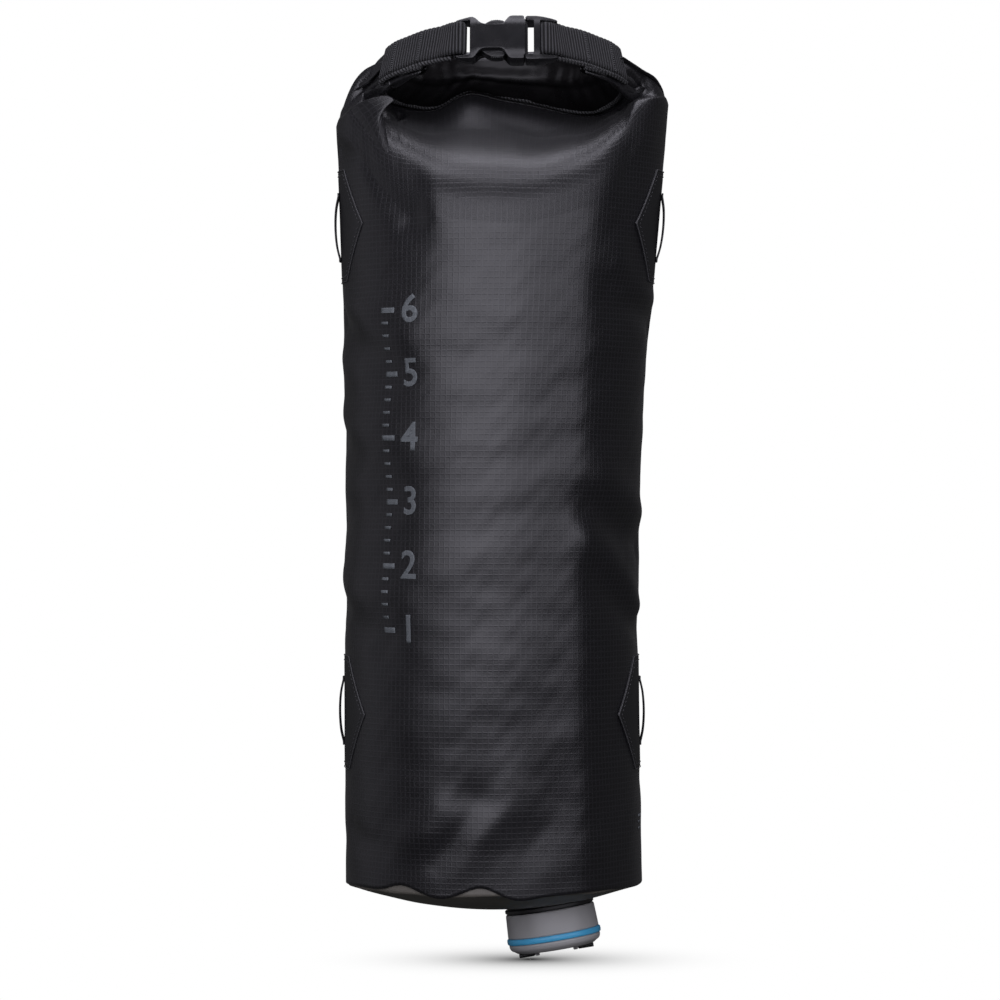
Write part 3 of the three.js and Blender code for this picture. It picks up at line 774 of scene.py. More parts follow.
def folded_surface(angle, level):
    """The bag's surface with a sharp shoulder line."""
    hem = hem_height(angle)
    top = shoulder_height(angle)
    height = hem + (top - hem) * np.minimum(level, 1)
    wall = wall_point(angle, height)
    outwards = unit(np.stack([np.cos(angle), np.sin(angle), 0.2 * smooth((height - 380) / 40)], -1))
    relief = fold_relief(angle, height) * (1 - 0.6 * smooth((level - 0.93) / 0.07))
    wall = wall + outwards * relief[..., None]
    t = clamp01(level - 1)
    s = np.sin(angle)
    swell = np.sin(math.pi * t) * np.minimum(1, 2 * np.abs(s))
    neck = neck_point(angle, np.zeros_like(angle))
    point = wall + (neck - wall) * t[..., None]
    front = (s < 0) * swell
    back = (s >= 0) * swell
    turn = (angle - FRONT) * RADIUS
    creases = 1.5 * ripple(turn, 40 * t, 12, 6, 45, 16) * np.sin(math.pi * t) * np.minimum(1, 3 * np.abs(s))
    gusset = (s < 0) * np.cos(angle) ** 6 * np.sin(math.pi * t)
    lean = np.where(np.cos(angle) < 0, -3.6, 5.0)
    climb = np.where(np.cos(angle) < 0, 17.0, 11.0)
    point = point + gusset[..., None] * np.stack([lean, 7 + 0 * s, climb], -1)
    point[..., 2] += -6 * front * s**2 + 6.4 * back + 0.6 * creases
    point[..., 0] += 8 * back * np.cos(angle)
    point[..., 1] += 8 * back * s
    over = neck_point(angle, clamp01(level - 2))
    pinch = smooth((level - 1.0) / 0.06) * smooth((2.0 - level) / 0.15)
    point = point + (pinched(point) - point) * (pinch * (s < 0.3))[..., None]
    return np.where((level > 2)[..., None], over, point)


def bag_grid(columns, wall_rows, shoulder_rows):
    angle = (np.arange(columns) + 0.5) * TAU / columns
    levels = np.concatenate([
        np.linspace(0, 1, wall_rows, endpoint=False),
        np.linspace(1, 2, shoulder_rows, endpoint=False),
        np.linspace(2, 3, 4),
    ])
    return np.meshgrid(angle, levels)


def make_bag():
    angle, level = bag_grid(360, 240, 64)
    points = bag_surface(angle, level)
    steps = np.linalg.norm(np.diff(points, axis=0), axis=-1)
    top = shoulder_height(angle)
    climb = hem_height(angle) + (top - hem_height(angle)) * np.minimum(level, 1)
    over = np.cumsum(np.concatenate([np.zeros((1, points.shape[1])), steps]) * (level > 1), axis=0)
    cloth = np.stack([angle * RADIUS, climb + over], -1)
    bag = grid_sheet("bag_fabric", points, FABRIC, 0.9, cloth, closed=True)
    settle(bag, "bag", "coated_fabric", "bag_front_panel", "bag_back_panel")


def surface_at(angle, height):
    """Points and outward normals of the finished wall for arrays of angles and heights."""
    def at(a, h):
        hem = hem_height(a)
        return bag_surface(a, (h - hem) / (shoulder_height(a) - hem))
    step = 0.012
    rise = 0.8
    point = at(angle, height)
    along = at(angle + step, height) - at(angle - step, height)
    up = at(angle, height + rise) - at(angle, height - rise)
    return point, unit(np.cross(along, up))


# --- Base ---
def make_base():
    """The welded base: a taut, bulging disc of darker cloth with a turned-up flange, open round the spout."""
    rings = 40
    columns = 240
    angle = circle(columns)
    share = np.linspace(1, 0, rings)[:, None]
    direction = np.stack([np.cos(angle), np.sin(angle)], -1)
    rim_radius = 73.2
    hole_radius = 19.4
    bulge = 13.5
    centre = np.array([-4.5, 0.0])
    hole = np.array([23.0, 0.8])
    edge = centre + direction * rim_radius
    lip = hole + direction * hole_radius
    flat = lip[None] * (1 - share[..., None]) + edge[None] * share[..., None]
    radius = np.linalg.norm(flat - centre, axis=-1)
    z = z_of(BASE_HEIGHT - bulge * (1 - (radius / RADIUS) ** 2))
    z = z + 0.5 * ripple(flat[..., 0], flat[..., 1], 21, 6, 60, 18) * smooth((radius - 30) / 30)
    skirt = np.concatenate([np.concatenate([edge, np.full((columns, 1), z_of(BASE_HEIGHT + rise))], -1)[None]
                            for rise in (8, 4, 1)])
    dish = np.concatenate([flat, z[..., None]], -1)
    points = np.concatenate([skirt, dish])
    cloth = points[..., :2]
    base = grid_sheet("base_fabric", points, BASE_CLOTH, 1.0, cloth, closed=True, offset=1)
    settle(base, "bag", "base_fabric", "base_panel")


# --- Rolled mouth ---
def roll_top(around):
    """How tall the roll stands above its lower edge: its top is level behind, and tucks under the straps."""
    from_end = from_roll_end(around)
    level = (ROLL_TOP - ring_edge(around)) / math.cos(RING_LEAN)
    return ROLL_END_HEIGHT + (level - ROLL_END_HEIGHT) * smooth((from_end - 14) / 38)


def roll_skin_point(across, v):
    """The outer cloth of the roll, from the shoulder line over the top fold and down the inner side."""
    around = roll_angle(across)
    start = wall_point(across, shoulder_height(across)) - 1.2 * ring_normal(around)
    start[..., 2] -= 0.6
    from_end = from_roll_end(around)
    middle = smooth((from_end - 20) / 34)
    side = np.cos(across) ** 2
    tall = roll_top(around)
    top = ring_point(around, 0.2 + 0.6 * middle, tall)
    tucked = ring_point(around, 2.2, 10.0)
    aim = top * middle[..., None] + tucked * (1 - middle[..., None])
    outwards = unit(np.stack([np.cos(across), 0.9 * np.sin(across), 0.9 + 0 * across], -1))
    flank = start + (aim - start) * 0.3 + outwards * (3.5 + 4.5 * side**3)[..., None]
    belly = start + (aim - start) * 0.62 + outwards * (4.0 + 2.0 * side**3)[..., None]
    crown = ring_point(around, 2.2 + 1.0 * middle, tall - 3.5)
    inside_high = ring_point(around, -2.6, tall - 2.5)
    inside_low = ring_point(around, -3.4, 1.5)
    knots = [0, 0.24, 0.5, 0.74, 0.84, 0.9, 1]
    values = np.stack([start, flank, belly, crown, top, inside_high, inside_low])
    return np.stack([through(v[row, :1], knots, values[:, row])[0] for row in range(len(v))])


# Creases of the roll: degrees across the back from the right, half width and depth.
CREASES = [(152, 4.5, 2.4), (144, 3.5, -3.0), (162, 4, -2.0), (24, 4.5, 2.2), (33, 4, -2.6), (64, 7, 1.8),
           (112, 7, -1.8)]


def make_roll():
    """The roll's outer cloth, with pinched folds that run from its top down to the side corners."""
    columns = 300
    rows = 90
    across, v = np.meshgrid(np.linspace(0.0, math.pi, columns), np.linspace(0, 1, rows))
    points = roll_skin_point(across, v)
    around = roll_angle(across)
    mean_radius = 54
    girth = 62
    arc = around * mean_radius
    length = v * girth
    lift = 0.7 * ripple(arc, length * 0.7, 31, 8, 30, 9) * smooth(v / 0.12) * smooth((0.8 - v) / 0.2)
    for centre, reach, depth in CREASES:
        distance = (across - math.radians(centre) - 0.10 * (v - 0.4)) * 72
        lift = lift + depth * bell(distance, reach) * smooth(v / 0.2) * smooth((0.7 - v) / 0.3)
    along = np.gradient(points, axis=1)
    up = np.gradient(points, axis=0)
    normal = unit(np.cross(along, up))
    points = points + normal * lift[..., None]
    points = points + (pinched(points) - points) * (smooth(v / 0.1) * smooth((0.7 - v) / 0.2))[..., None]
    cloth = np.stack([arc, length], -1)
    roll = grid_sheet("roll_fabric", points, FABRIC, 0.8, cloth)
    settle(roll, "bag", "coated_fabric", "roll_outer_fold", "lip_stiffener")


def make_pleat():
    """The pinched pleat at the mouth's left corner, which rises off the shoulder into an S-shaped lip."""
    lip = [(-77, -12, 414.5), (-71.5, -18, 419.5), (-67, -24, 425), (-62, -28, 427.4),
           (-56.5, -30, 427.8), (-53.6, -31, 425.6), (-56.8, -30, 422.6), (-59.4, -29, 419.4),
           (-56, -32, 416.8), (-49.5, -37, 414.6)]
    columns = 90
    rows = 26
    share = np.linspace(0, 1, columns)
    knots = np.linspace(0, 1, len(lip))
    top = through(share, knots, np.array(lip, float))
    for _ in range(6):
        top[1:-1] = (top[:-2] + 2 * top[1:-1] + top[2:]) / 4
    top[:, 2] -= RING_HEIGHT
    foot = bag_surface(np.radians(186 + 44 * share)[None], np.full((1, columns), 1.1))[0]
    raised = (smooth(share / 0.12) * smooth((1 - share) / 0.22))[:, None]
    top = foot + (top - foot) * raised
    v = np.linspace(0, 1, rows)[:, None, None]
    swell = np.sin(math.pi * v) * raised * np.array([0, -1.6, 1.2])
    points = foot * (1 - v) + top * v + swell
    points[:, :, 1] += 0.8 - raised[:, 0] * smooth(v[..., 0] / 0.2)
    arc = share * 46
    cloth = np.stack(np.broadcast_arrays(arc[None], v[..., 0] * 18), -1)
    pleat = grid_sheet("corner_pleat", points, FABRIC, 0.7, cloth)
    settle(pleat, "bag", "coated_fabric")


def make_inner_roll():
    """The inner face of the roll: shiny, crumpled cloth above the bound mouth edge."""
    columns = 320
    rows = 40
    around, v = np.meshgrid(np.linspace(ROLL_START, ROLL_END, columns), np.linspace(0, 1, rows))
    mean_radius = 52
    arc = around * mean_radius
    crumple = 0.8 * ripple(arc, v * 22, 41, 9, 26, 8) + 0.5 * ripple(arc, v * 16, 43, 8, 12, 5)
    pull = 1.4 * bell(np.degrees(around) - 28, 6) - 1.6 * bell(np.degrees(around) - 16, 5)
    pull = pull + 1.5 * bell(np.degrees(around) - 158, 6) - 1.2 * bell(np.degrees(around) - 146, 6)
    back = smooth((np.sin(around) - 0.1) / 0.5)
    belly = through(v, [0, 0.16, 0.42, 0.52, 0.6, 0.86, 1], [0, -2.4, -4.4, -4.6, -5.6, -1.2, 0.8])
    depth = -3.6 + back * belly + 0.55 * (crumple + pull) * np.sin(math.pi * clamp01(v * 0.9 + 0.08))
    points = ring_point(around, depth, -0.2 + (roll_top(around) - 2.4) * v)
    cloth = np.stack([arc, v * 22], -1)
    inner = grid_sheet("roll_inner_fabric", points, INSIDE, 0.6, cloth, offset=0)
    settle(inner, "bag", "coated_fabric", "roll_inner_fold")


# --- Twisted cord ---
ROPE_STRANDS = 3
ROPE_LAY = 4.2
ROPE_CORNERS = 18


def rope(name, path, radius):
    """A twisted cord along a path."""
    path = np.asarray(path, float)
    along = unit(np.gradient(path, axis=0))
    side = unit(np.cross(along, np.array([0, 0, 1.0])))
    up = np.cross(side, along)
    length = run_length(path)
    turn = circle(ROPE_CORNERS)
    twist = TAU * length[:, None] / ROPE_LAY
    swell = radius * (0.86 + 0.2 * np.abs(np.cos(ROPE_STRANDS * (turn[None] - twist) / 2)))
    rings = (path[:, None] + side[:, None] * (swell * np.cos(turn))[..., None]
             + up[:, None] * (swell * np.sin(turn))[..., None])
    cloth = np.stack(np.broadcast_arrays(length[:, None], turn[None] * radius), -1)
    return loop_bar(name, rings, CORD, cloth)


def make_binding():
    """The rope-like bound edge of the mouth, which comes out from under the roll at its ends."""
    around = np.linspace(ROLL_START - 0.02, ROLL_END + 0.02, 1000)
    from_end = from_roll_end(around)
    outside = smooth((30 - from_end) / 26)
    cord = rope("mouth_binding", ring_point(around, -4.3 + 6.9 * outside, 1.7 - 2.7 * outside), 1.2)
    settle(cord, "bag", "binding", "lip_binding")


# --- Straps ---
WEB_WIDTH = 18.4
WEB_START = 0.3
WEB_THICK = 1.3
WEB_STANDOFF = 3.6
WRAP = 2.2
LEFT_BAR = 20.6
RIGHT_BAR = 20.3


def strap_route(side, start, share):
    """The webbing's lower edge from its buckle bar round to its sewn end, as x, y and height."""
    route = np.array([[start, -53, 442.3], [24, -52.8, 442.2], [32, -48, 441.2], [40, -42.6, 440],
                      [47, -37.6, 438], [53.4, -32.6, 436], [58.6, -26.6, 433.4]])
    run = run_length(route)
    return through(share, run / run[-1], route * np.array([side, 1, 1]))


def strap_frame(side, start, share):
    """The strap's lower edge and its directions out through the webbing and up across it."""
    edge = strap_route(side, start, share)
    along = unit(np.gradient(edge, axis=0))
    normal = unit(np.stack([side * along[:, 1], -side * along[:, 0], 0 * share], -1))
    out = normal * math.cos(RING_LEAN) + np.array([0, 0, math.sin(RING_LEAN)])
    up = -normal * math.sin(RING_LEAN) * np.array([0.55, 1, 1]) + np.array([0, 0, math.cos(RING_LEAN)])
    up = unit(up)
    return edge, out, up


def strap_path(side, bar):
    """The webbing's lower edge: in from its sewn end, round the buckle's bar and back to the first seam."""
    share = np.linspace(1, 0, 260)
    edge, out, up = strap_frame(side, bar, share[::-1])
    edge, out, up = edge[::-1], out[::-1], up[::-1]
    front = WEB_STANDOFF + WRAP * smooth((31 - np.abs(edge[:, 0])) / (31 - bar))
    line = edge + out * front[:, None]
    turn = np.linspace(math.pi / 2, -math.pi / 2, 22)[1:-1]
    around = (edge[-1] + np.array([-side * WRAP, 0, 0]) * np.cos(turn)[:, None]
              + out[-1] * (WEB_STANDOFF + WRAP * np.sin(turn))[:, None])
    tail = np.abs(edge[::-1, 0]) < 42
    rear_edge, rear_out, rear_up = edge[::-1][tail], out[::-1][tail], up[::-1][tail]
    rear = WEB_STANDOFF - WRAP + (WRAP - 1.34) * smooth((np.abs(rear_edge[:, 0]) - bar) / (33 - bar))
    line = np.concatenate([line, around, rear_edge + rear_out * rear[:, None]])
    ups = np.concatenate([up, np.repeat(up[-1:], len(turn), 0), rear_up])
    line[:, 2] -= RING_HEIGHT
    return line, ups


def make_strap(name, side, bar):
    """Ribbed webbing: the section's faces swell at each rib, and the selvages are notched."""
    line, up = strap_path(side, bar)
    length = run_length(line)
    steps = np.arange(0, length[-1], 0.17)
    line = np.stack([np.interp(steps, length, line[:, k]) for k in range(3)], -1)
    up = unit(np.stack([np.interp(steps, length, up[:, k]) for k in range(3)], -1))
    along = unit(np.gradient(line, axis=0))
    normal = unit(np.cross(along, up)) * side
    rib = 0.3 * np.abs(np.sin(math.pi * steps / RIB))
    notch = 0.3 * np.abs(np.sin(math.pi * steps / (1.6 * RIB)))
    half = WEB_THICK / 2
    across = np.linspace(0, 1, 14)
    rounding = np.sqrt(1 - np.minimum(1, np.abs(2 * across - 1)) ** 10)
    corners = [(half * r, WEB_WIDTH * s) for s, r in zip(across, rounding)]
    corners += [(-half * r, WEB_WIDTH * s) for s, r in zip(across[::-1][1:-1], rounding[::-1][1:-1])]
    rings = []
    for a, b in corners:
        swell = rib * np.sign(a) * (abs(a) > 0.3 * half)
        shift = notch * (-1 if b < 1 else 1 if b > WEB_WIDTH - 1 else 0)
        rings.append(line + normal * (a + swell)[:, None] + up * (b + WEB_START + shift)[:, None])
    rings = np.stack(rings, 1)
    cloth = np.stack(np.broadcast_arrays(steps[:, None], np.array([b for _, b in corners])[None]), -1)
    return loop_bar(name, rings, WEBBING, cloth)


def strap_edging(name, side, bar):
    """The bound edge that runs along the strap's lower side, from the mouth's end towards the buckle."""
    edge, out, up = strap_frame(side, bar, np.linspace(0.08, 1, 300))
    path = edge + out * 2.9 - up * 0.5
    path[:, 2] -= RING_HEIGHT
    return rope(name, path, 1.15)


def stitch(start, end, lift, radius=0.3):
    """One stitch: a thin arch between two points."""
    t = np.linspace(0, 1, 7)
    path = start[None] * (1 - t[:, None]) + end[None] * t[:, None] + lift[None] * np.sin(math.pi * t)[:, None]
    along = unit(end - start)
    side = unit(np.cross(along, lift))
    up = unit(lift)
    turn = circle(6)
    width = radius * (0.45 + 0.55 * np.sin(math.pi * t))
    ring = side * (width[:, None] * np.cos(turn))[..., None] + up * (width[:, None] * np.sin(turn))[..., None]
    return path[:, None] + ring


def stitch_row(name, rings_list):
    """One piece of thread from the rings of its stitches."""
    points = []
    faces = []
    for rings in rings_list:
        base = len(points)
        steps, corners = rings.shape[:2]
        points += rings.reshape(-1, 3).tolist()
        faces += (grid_faces(steps, corners, True) + base).tolist()
        faces.append([base + i for i in range(corners)][::-1])
        faces.append([base + (steps - 1) * corners + i for i in range(corners)])
    cloth = np.asarray(points)[:, :2]
    row = add_mesh(name, points, faces, THREAD_AND_EDGE_HIGHLIGHT, cloth)
    face_outwards(row)
    return row


def make_bartacks(name, side, bar, distances):
    """Zigzag stitch rows across the strap where it is sewn, at these distances from the middle in X."""
    edge, out, up = strap_frame(side, bar, np.linspace(0, 1, 400))
    count = 16
    margin = 0.8
    rings = []
    for distance in distances:
        for i in range(count):
            low = WEB_START + margin + i * (WEB_WIDTH - 2 * margin) / count
            spots = []
            for shift, rise in ((-0.75, 0.0), (0.75, 0.6)):
                at = int(np.argmin(np.abs(np.abs(edge[:, 0]) - distance - shift)))
                spot = edge[at] + out[at] * (WEB_STANDOFF + WEB_THICK / 2 + 0.3) + up[at] * (low + rise)
                spots.append(spot - np.array([0, 0, RING_HEIGHT]))
            rings.append(stitch(spots[0], spots[1], out[at] * 0.3))
    return stitch_row(name, rings)


def make_straps():
    left = make_strap("strap_left_webbing", -1, LEFT_BAR)
    settle(left, "bag", "webbing", "strap_left")
    settle(make_bartacks("strap_left_stitches", -1, LEFT_BAR, (40, 53)), "bag", "webbing")
    settle(strap_edging("strap_left_edging", -1, LEFT_BAR), "bag", "binding")
    right = make_strap("webbing_right", 1, RIGHT_BAR)
    near = make_bartacks("stitches_near", 1, RIGHT_BAR, (40,))
    right = joined("strap_right_webbing", [right, near, strap_edging("edging_right", 1, RIGHT_BAR)])
    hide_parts("strap_right")
    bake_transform(right)
    settle(make_bartacks("strap_right_stitches", 1, RIGHT_BAR, (53,)), "bag", "webbing")


# --- Buckle, in its own frame: X along the strap, Z across it, -Y towards the front ---
BUCKLE_X = 0.75
BUCKLE_EDGE = 442.2


def buckle_matrix():
    outwards, upwards = leaning(WEB_STANDOFF, WEB_WIDTH / 2)
    origin = Vector((BUCKLE_X, RING_BACK - RING_DEPTH - outwards, BUCKLE_EDGE + upwards - RING_HEIGHT)) * MM
    return Matrix.Translation(origin) @ Matrix.Rotation(-RING_LEAN, 4, "X")


def mirrored(points):
    """An outline's upper half followed by its mirror image below."""
    return points + [(x, -z) for x, z in points[::-1]]


def slice_up(piece, cuts):
    """Adds edges where planes at these millimetre positions cross, as {axis: positions}."""
    bm = bmesh.new()
    bm.from_mesh(piece.data)
    for axis, positions in cuts.items():
        cut_across(bm, axis, positions, MM)
    bmesh.ops.triangulate(bm, faces=[f for f in bm.faces if len(f.verts) > 4])
    bm.to_mesh(piece.data)
    bm.free()


def shape_thickness(piece, factor):
    """Scales a piece's thickness by factor(x, z), in millimetres."""
    for vertex in piece.data.vertices:
        vertex.co.y *= factor(vertex.co.x / MM, vertex.co.z / MM)


def moulded(piece, width, factor, body, slot, node):
    """Rounds a moulded half's edges, tapers it and puts it in its place."""
    bevel(piece, width, 28)
    apply_modifiers(piece)
    slice_up(piece, {0: np.arange(-22.5, 25, 1.5), 2: np.arange(-11.2, 12, 1.6)})
    shape_thickness(piece, factor)
    soften(piece, 32)
    fit(piece, buckle_matrix(), body, slot, node)


def make_buckle_female():
    upper = [(-24.0, 9.6), (-23.4, 10.6), (-21.5, 11.2), (-17.0, 11.9), (-15.6, 11.9), (-14.3, 10.9),
             (-12.6, 8.7), (-11.4, 7.6), (-10.0, 7.1), (-8.6, 6.9), (-2.4, 6.9), (-1.2, 7.3), (-0.2, 8.2),
             (1.6, 11.2), (2.5, 12.1), (3.6, 12.4), (8.6, 12.4), (9.3, 12.1), (9.5, 11.4), (9.3, 10.7),
             (10.1, 9.9)]
    body = plate("buckle_female_shell", mirrored(upper), 9.0, BUCKLE, rounding=0)
    carve(body, [
        (-26, -19.5, -6, -1.5, -9.9, 9.9),
        (-26, -19.5, 1.5, 6, -9.9, 9.9),
        (-26, -23.3, -6, 6, -9.9, 9.9),
        (-19.5, -16.9, -6, 6, -9.9, 9.9),
        (-13.6, 12, -2.5, 2.5, -10.4, 10.4),
    ])

    def taper(x, z):
        lug = 1 - 0.42 * float(smooth((-15.2 - x) / 8.5)) - 0.13 * float(smooth((-13.5 - x) / 2.4))
        dome = 1 - 0.2 * float(smooth((abs(z) - 6.5) / 6))
        return lug * dome

    moulded(body, 0.55, taper, "bag", "buckle_plastic", "buckle_female")


def make_buckle_male():
    upper = [(11.0, 10.0), (10.2, 10.8), (10.1, 11.8), (10.9, 12.5), (15.0, 12.5), (19.0, 12.1),
             (22.6, 11.6), (24.8, 11.0), (25.6, 10.4)]
    body = plate("frame", mirrored(upper), 7.4, BUCKLE, rounding=0)
    carve(body, [(9, 14.2, -6, 6, -9.8, 9.8), (17.2, 27, -6, 6, -9.9, 9.9)])

    def taper(x, z):
        return (1 - 0.45 * float(smooth((x - 16) / 10))) * (1 - 0.18 * float(smooth((abs(z) - 6.5) / 6)))

    bevel(body, 0.5, 28)
    extras = []
    for x0, x1, half, reach in ((9.4, 11.3, 2.2, 10.1), (2.0, 9.6, 1.6, 1.6), (18.9, 21.0, 1.1, 10.2)):
        outline = [(x0, -reach), (x1, -reach), (x1, reach), (x0, reach)]
        extras.append(plate("bar", outline, 2 * half, BUCKLE, 0.35))
    made = joined("buckle_male_body", [body, *extras])
    moulded(made, 0.02, taper, "buckle_male", "buckle_plastic", "buckle_male")


def make_prong(name, side):
    """A prong's arm with its arched, ribbed press pad."""
    outline = [(8.8, 4.6), (9.2, 6.0), (9.2, 8.4), (4.0, 8.1), (0.9, 7.7), (0.3, 8.2), (0.0, 9.8),
               (-0.7, 10.3), (-2.2, 10.7), (-3.8, 10.85), (-5.4, 10.7), (-6.9, 10.3), (-8.6, 9.3),
               (-10.4, 7.9), (-12.2, 6.2), (-12.3, 4.8), (-8, 4.6)]
    arm = plate(name + "_arm", [(x, side * z) for x, z in outline], 4.4, BUCKLE, 0.5)
    parts = [arm]
    for i in range(6):
        x = -6.3 + i * 1.0
        height = 10.75 - 0.045 * (x + 3.8) ** 2
        rib = turned("rib", [(0, -1.9), (0.32, -1.7), (0.36, 0), (0.32, 1.7), (0, 1.9)], BUCKLE, 12)
        spot = Matrix.Translation(Vector((x, 0, side * height)) * MM)
        rib.data.transform(spot @ Matrix.Rotation(math.pi / 2, 4, "X"))
        parts.append(rib)
    prong = joined(name + "_body", parts)
    soften(prong, 40)
    fit(prong, buckle_matrix(), name, "buckle_plastic", name)


# --- Spout and cap, around a local +Z that points out of the bag ---
SPOUT_POINT = (23.0, 0.8, 26.8)
CAP_FACE = 21.85
BAIL_AXIS = 23.15
THREAD_PITCH = 6


def spout_matrix():
    out = Vector((0.1625, -0.05, -1)).normalized()
    back = (Vector((0, 1, 0)) - out * out.y).normalized()
    side = back.cross(out)
    basis = Matrix((side, back, out)).transposed().to_4x4()
    x, y, height = SPOUT_POINT
    return Matrix.Translation(Vector((x, y, z_of(height))) * MM) @ basis


def circled(radius, angle, z):
    """Points at a radius and angle around Z."""
    return np.stack([radius * np.cos(angle), radius * np.sin(angle), z + 0 * angle], -1)


def thread_ridge(name, root, crest, start, turns, material):
    """A screw thread's ridge, which fades in and out at its ends."""
    steps = int(48 * turns)
    t = np.linspace(0, 1, steps)
    fade = clamp01(np.minimum(t, 1 - t) * steps * 0.12 + 0.1)
    angle = TAU * turns * t
    rings = []
    for a, b in ((0, -1.2), (0.8, -0.8), (1, -0.5), (1, 0.5), (0.8, 0.8), (0, 1.2)):
        radius = root + (crest - root) * a * fade
        rings.append(circled(radius, angle, start + THREAD_PITCH * turns * t + b))
    return loop_bar(name, np.stack(rings, 1), material)


def make_spout():
    body = turned("spout_body", [
        (16.5, -6.4), (30, -8.2), (30, -7), (18.6, -4.8), (18.6, -0.4), (21.9, -0.4), (22.3, 0.0),
        (22.3, 1.2), (21.9, 1.6), (18.9, 1.6), (18.6, 1.9), (18.6, 17.6), (18.2, 18), (16.9, 18),
        (16.5, 17.6)], BLACK)
    ridge = thread_ridge("ridge", 18.1, 20, 4.5, 1.75, BLACK)
    made = joined("spout_neck", [body, ridge])
    soften(made)
    fit(made, spout_matrix(), "bag", "black_plastic", "spout")


def make_cap():
    shell = turned("cap_cup", [
        (0, CAP_FACE - 0.5), (14.2, CAP_FACE - 0.5), (14.7, CAP_FACE - 0.1), (15.2, CAP_FACE),
        (18.9, CAP_FACE), (19.7, CAP_FACE - 0.25), (20.4, CAP_FACE - 0.8), (21.9, 20.2), (22.5, 19.5),
        (22.8, 18.8), (22.9, 18.0), (22.9, 17.5), (22.7, 17.2), (22.1, 17.2), (22.1, 13.8), (22.6, 13.8),
        (22.85, 13.5), (22.85, 13.1), (22.3, 3.0), (22.15, 2.4), (21.8, 2.1), (20.9, 2.1), (20.6, 2.4),
        (20.6, 19.2), (20.3, 19.5), (0, 19.5)], GREY, 160)
    lugs = []
    for side in (1, -1):
        x0, x1 = sorted((side * 8.5, side * 10.8))
        lug = plate("lug", [(x0, 0), (x1, 0), (x1, 3.2), (x0, 3.2)], 3.2, GREY, 0.5)
        lug.location.z = (CAP_FACE - 0.8) * MM
        lugs.append(lug)
    ridge = thread_ridge("ridge", 21.0, 19.2, 7.5, 1.5, GREY)
    made = joined("cap_body", [shell, *lugs, ridge])
    soften(made)
    fit(made, spout_matrix(), "cap", "grey_plastic", "cap_shell")

    band = turned("cap_ring", [
        (22.3, 14.0), (23.0, 14.0), (23.35, 14.2), (23.55, 14.6), (23.62, 15.5), (23.55, 16.4), (23.35, 16.8),
        (23.0, 17.0), (22.3, 17.0)], BLUE, 160)
    fit(band, spout_matrix(), "cap", "blue_plastic", "cap_band")

    seal = turned("cap_washer", [
        (16.9, 18.3), (20.0, 18.3), (20.2, 18.5), (20.2, 19.0), (20.0, 19.2), (16.9, 19.2)], SEAL, 96)
    fit(seal, spout_matrix(), "cap_seal", "seal_rubber", "cap_seal")

    stud = turned("cap_stud_button", [
        (0, 0.2), (2.4, 0.2), (2.5, 0.5), (2.4, 0.9), (1.7, 1.5), (1.0, 1.7), (0, 1.75)], GREY, 48)
    stud.data.transform(Matrix.Translation(Vector((3, 0, CAP_FACE - 0.5)) * MM))
    fit(stud, spout_matrix(), "cap", "grey_plastic", "cap_stud")


def make_bail():
    """The folding bail: a half ring with a barrel and a stub pin at each end."""
    steps = 60
    angle = np.radians(np.linspace(1, 179, steps))
    rings = []
    for across, z in rounded_section(24, 2.0, 1.0, 0.4, 0.4):
        rings.append(circled(16.8 + across, angle, BAIL_AXIS + z))
    parts = [loop_bar("bow", np.stack(rings, 1), BLACK)]
    chamfer = 0.25
    for side in (1, -1):
        for x0, x1, radius in ((11.1, 18.8, 1.12), (8.9, 11.6, 0.6)):
            end = x1 - x0
            bar = turned("bar", [(0, 0), (radius - chamfer, 0), (radius, chamfer), (radius, end - chamfer),
                                 (radius - chamfer, end), (0, end)], BLACK, 32)
            spot = Matrix.Translation(Vector((side * x0, 0, BAIL_AXIS)) * MM)
            bar.data.transform(spot @ Matrix.Rotation(side * math.pi / 2, 4, "Y"))
            parts.append(bar)
    made = joined("bail_handle", parts)
    soften(made, 40)
    fit(made, spout_matrix(), "cap_bail", "black_plastic", "cap_bail")


# --- Lash patches and loops ---
PATCH_REACH = 42
PATCH_TAPER = 20
PATCH_RISE = 28


def make_patch(place_name, side_name, angle, height):
    """A welded hexagonal patch with a raised line inside its edge."""
    rows, columns = 57, 85
    t = np.linspace(-1, 1, rows)[:, None]
    s = np.linspace(-1, 1, columns)[None]
    reach = PATCH_REACH - PATCH_TAPER * np.abs(t)
    arc = reach * s
    rise = PATCH_RISE * t + 0 * s
    edge = np.minimum((1 - np.abs(t)) * PATCH_RISE, (1 - np.abs(s)) * reach * 0.81)
    lift = 0.5 * smooth(edge / 0.8) - 0.12 - 0.1 * bell(edge - 2.6, 0.7)
    point, normal = surface_at(angle + arc / RADIUS, height + rise)
    points = point + normal * lift[..., None]
    cloth = np.stack(np.broadcast_arrays(arc, rise), -1)
    name = f"lash_patch_{place_name}_{side_name}"
    patch = grid_sheet(name + "_cloth", points, PATCH, 0.5, cloth)
    settle(patch, "bag", "patch_fabric", name)
    settle(patch_edge(name + "_edge", angle, height, 0.2, 0.42, 0.24), "bag", "patch_fabric")
    settle(patch_stitches(name + "_stitches", angle, height), "bag", "patch_fabric")


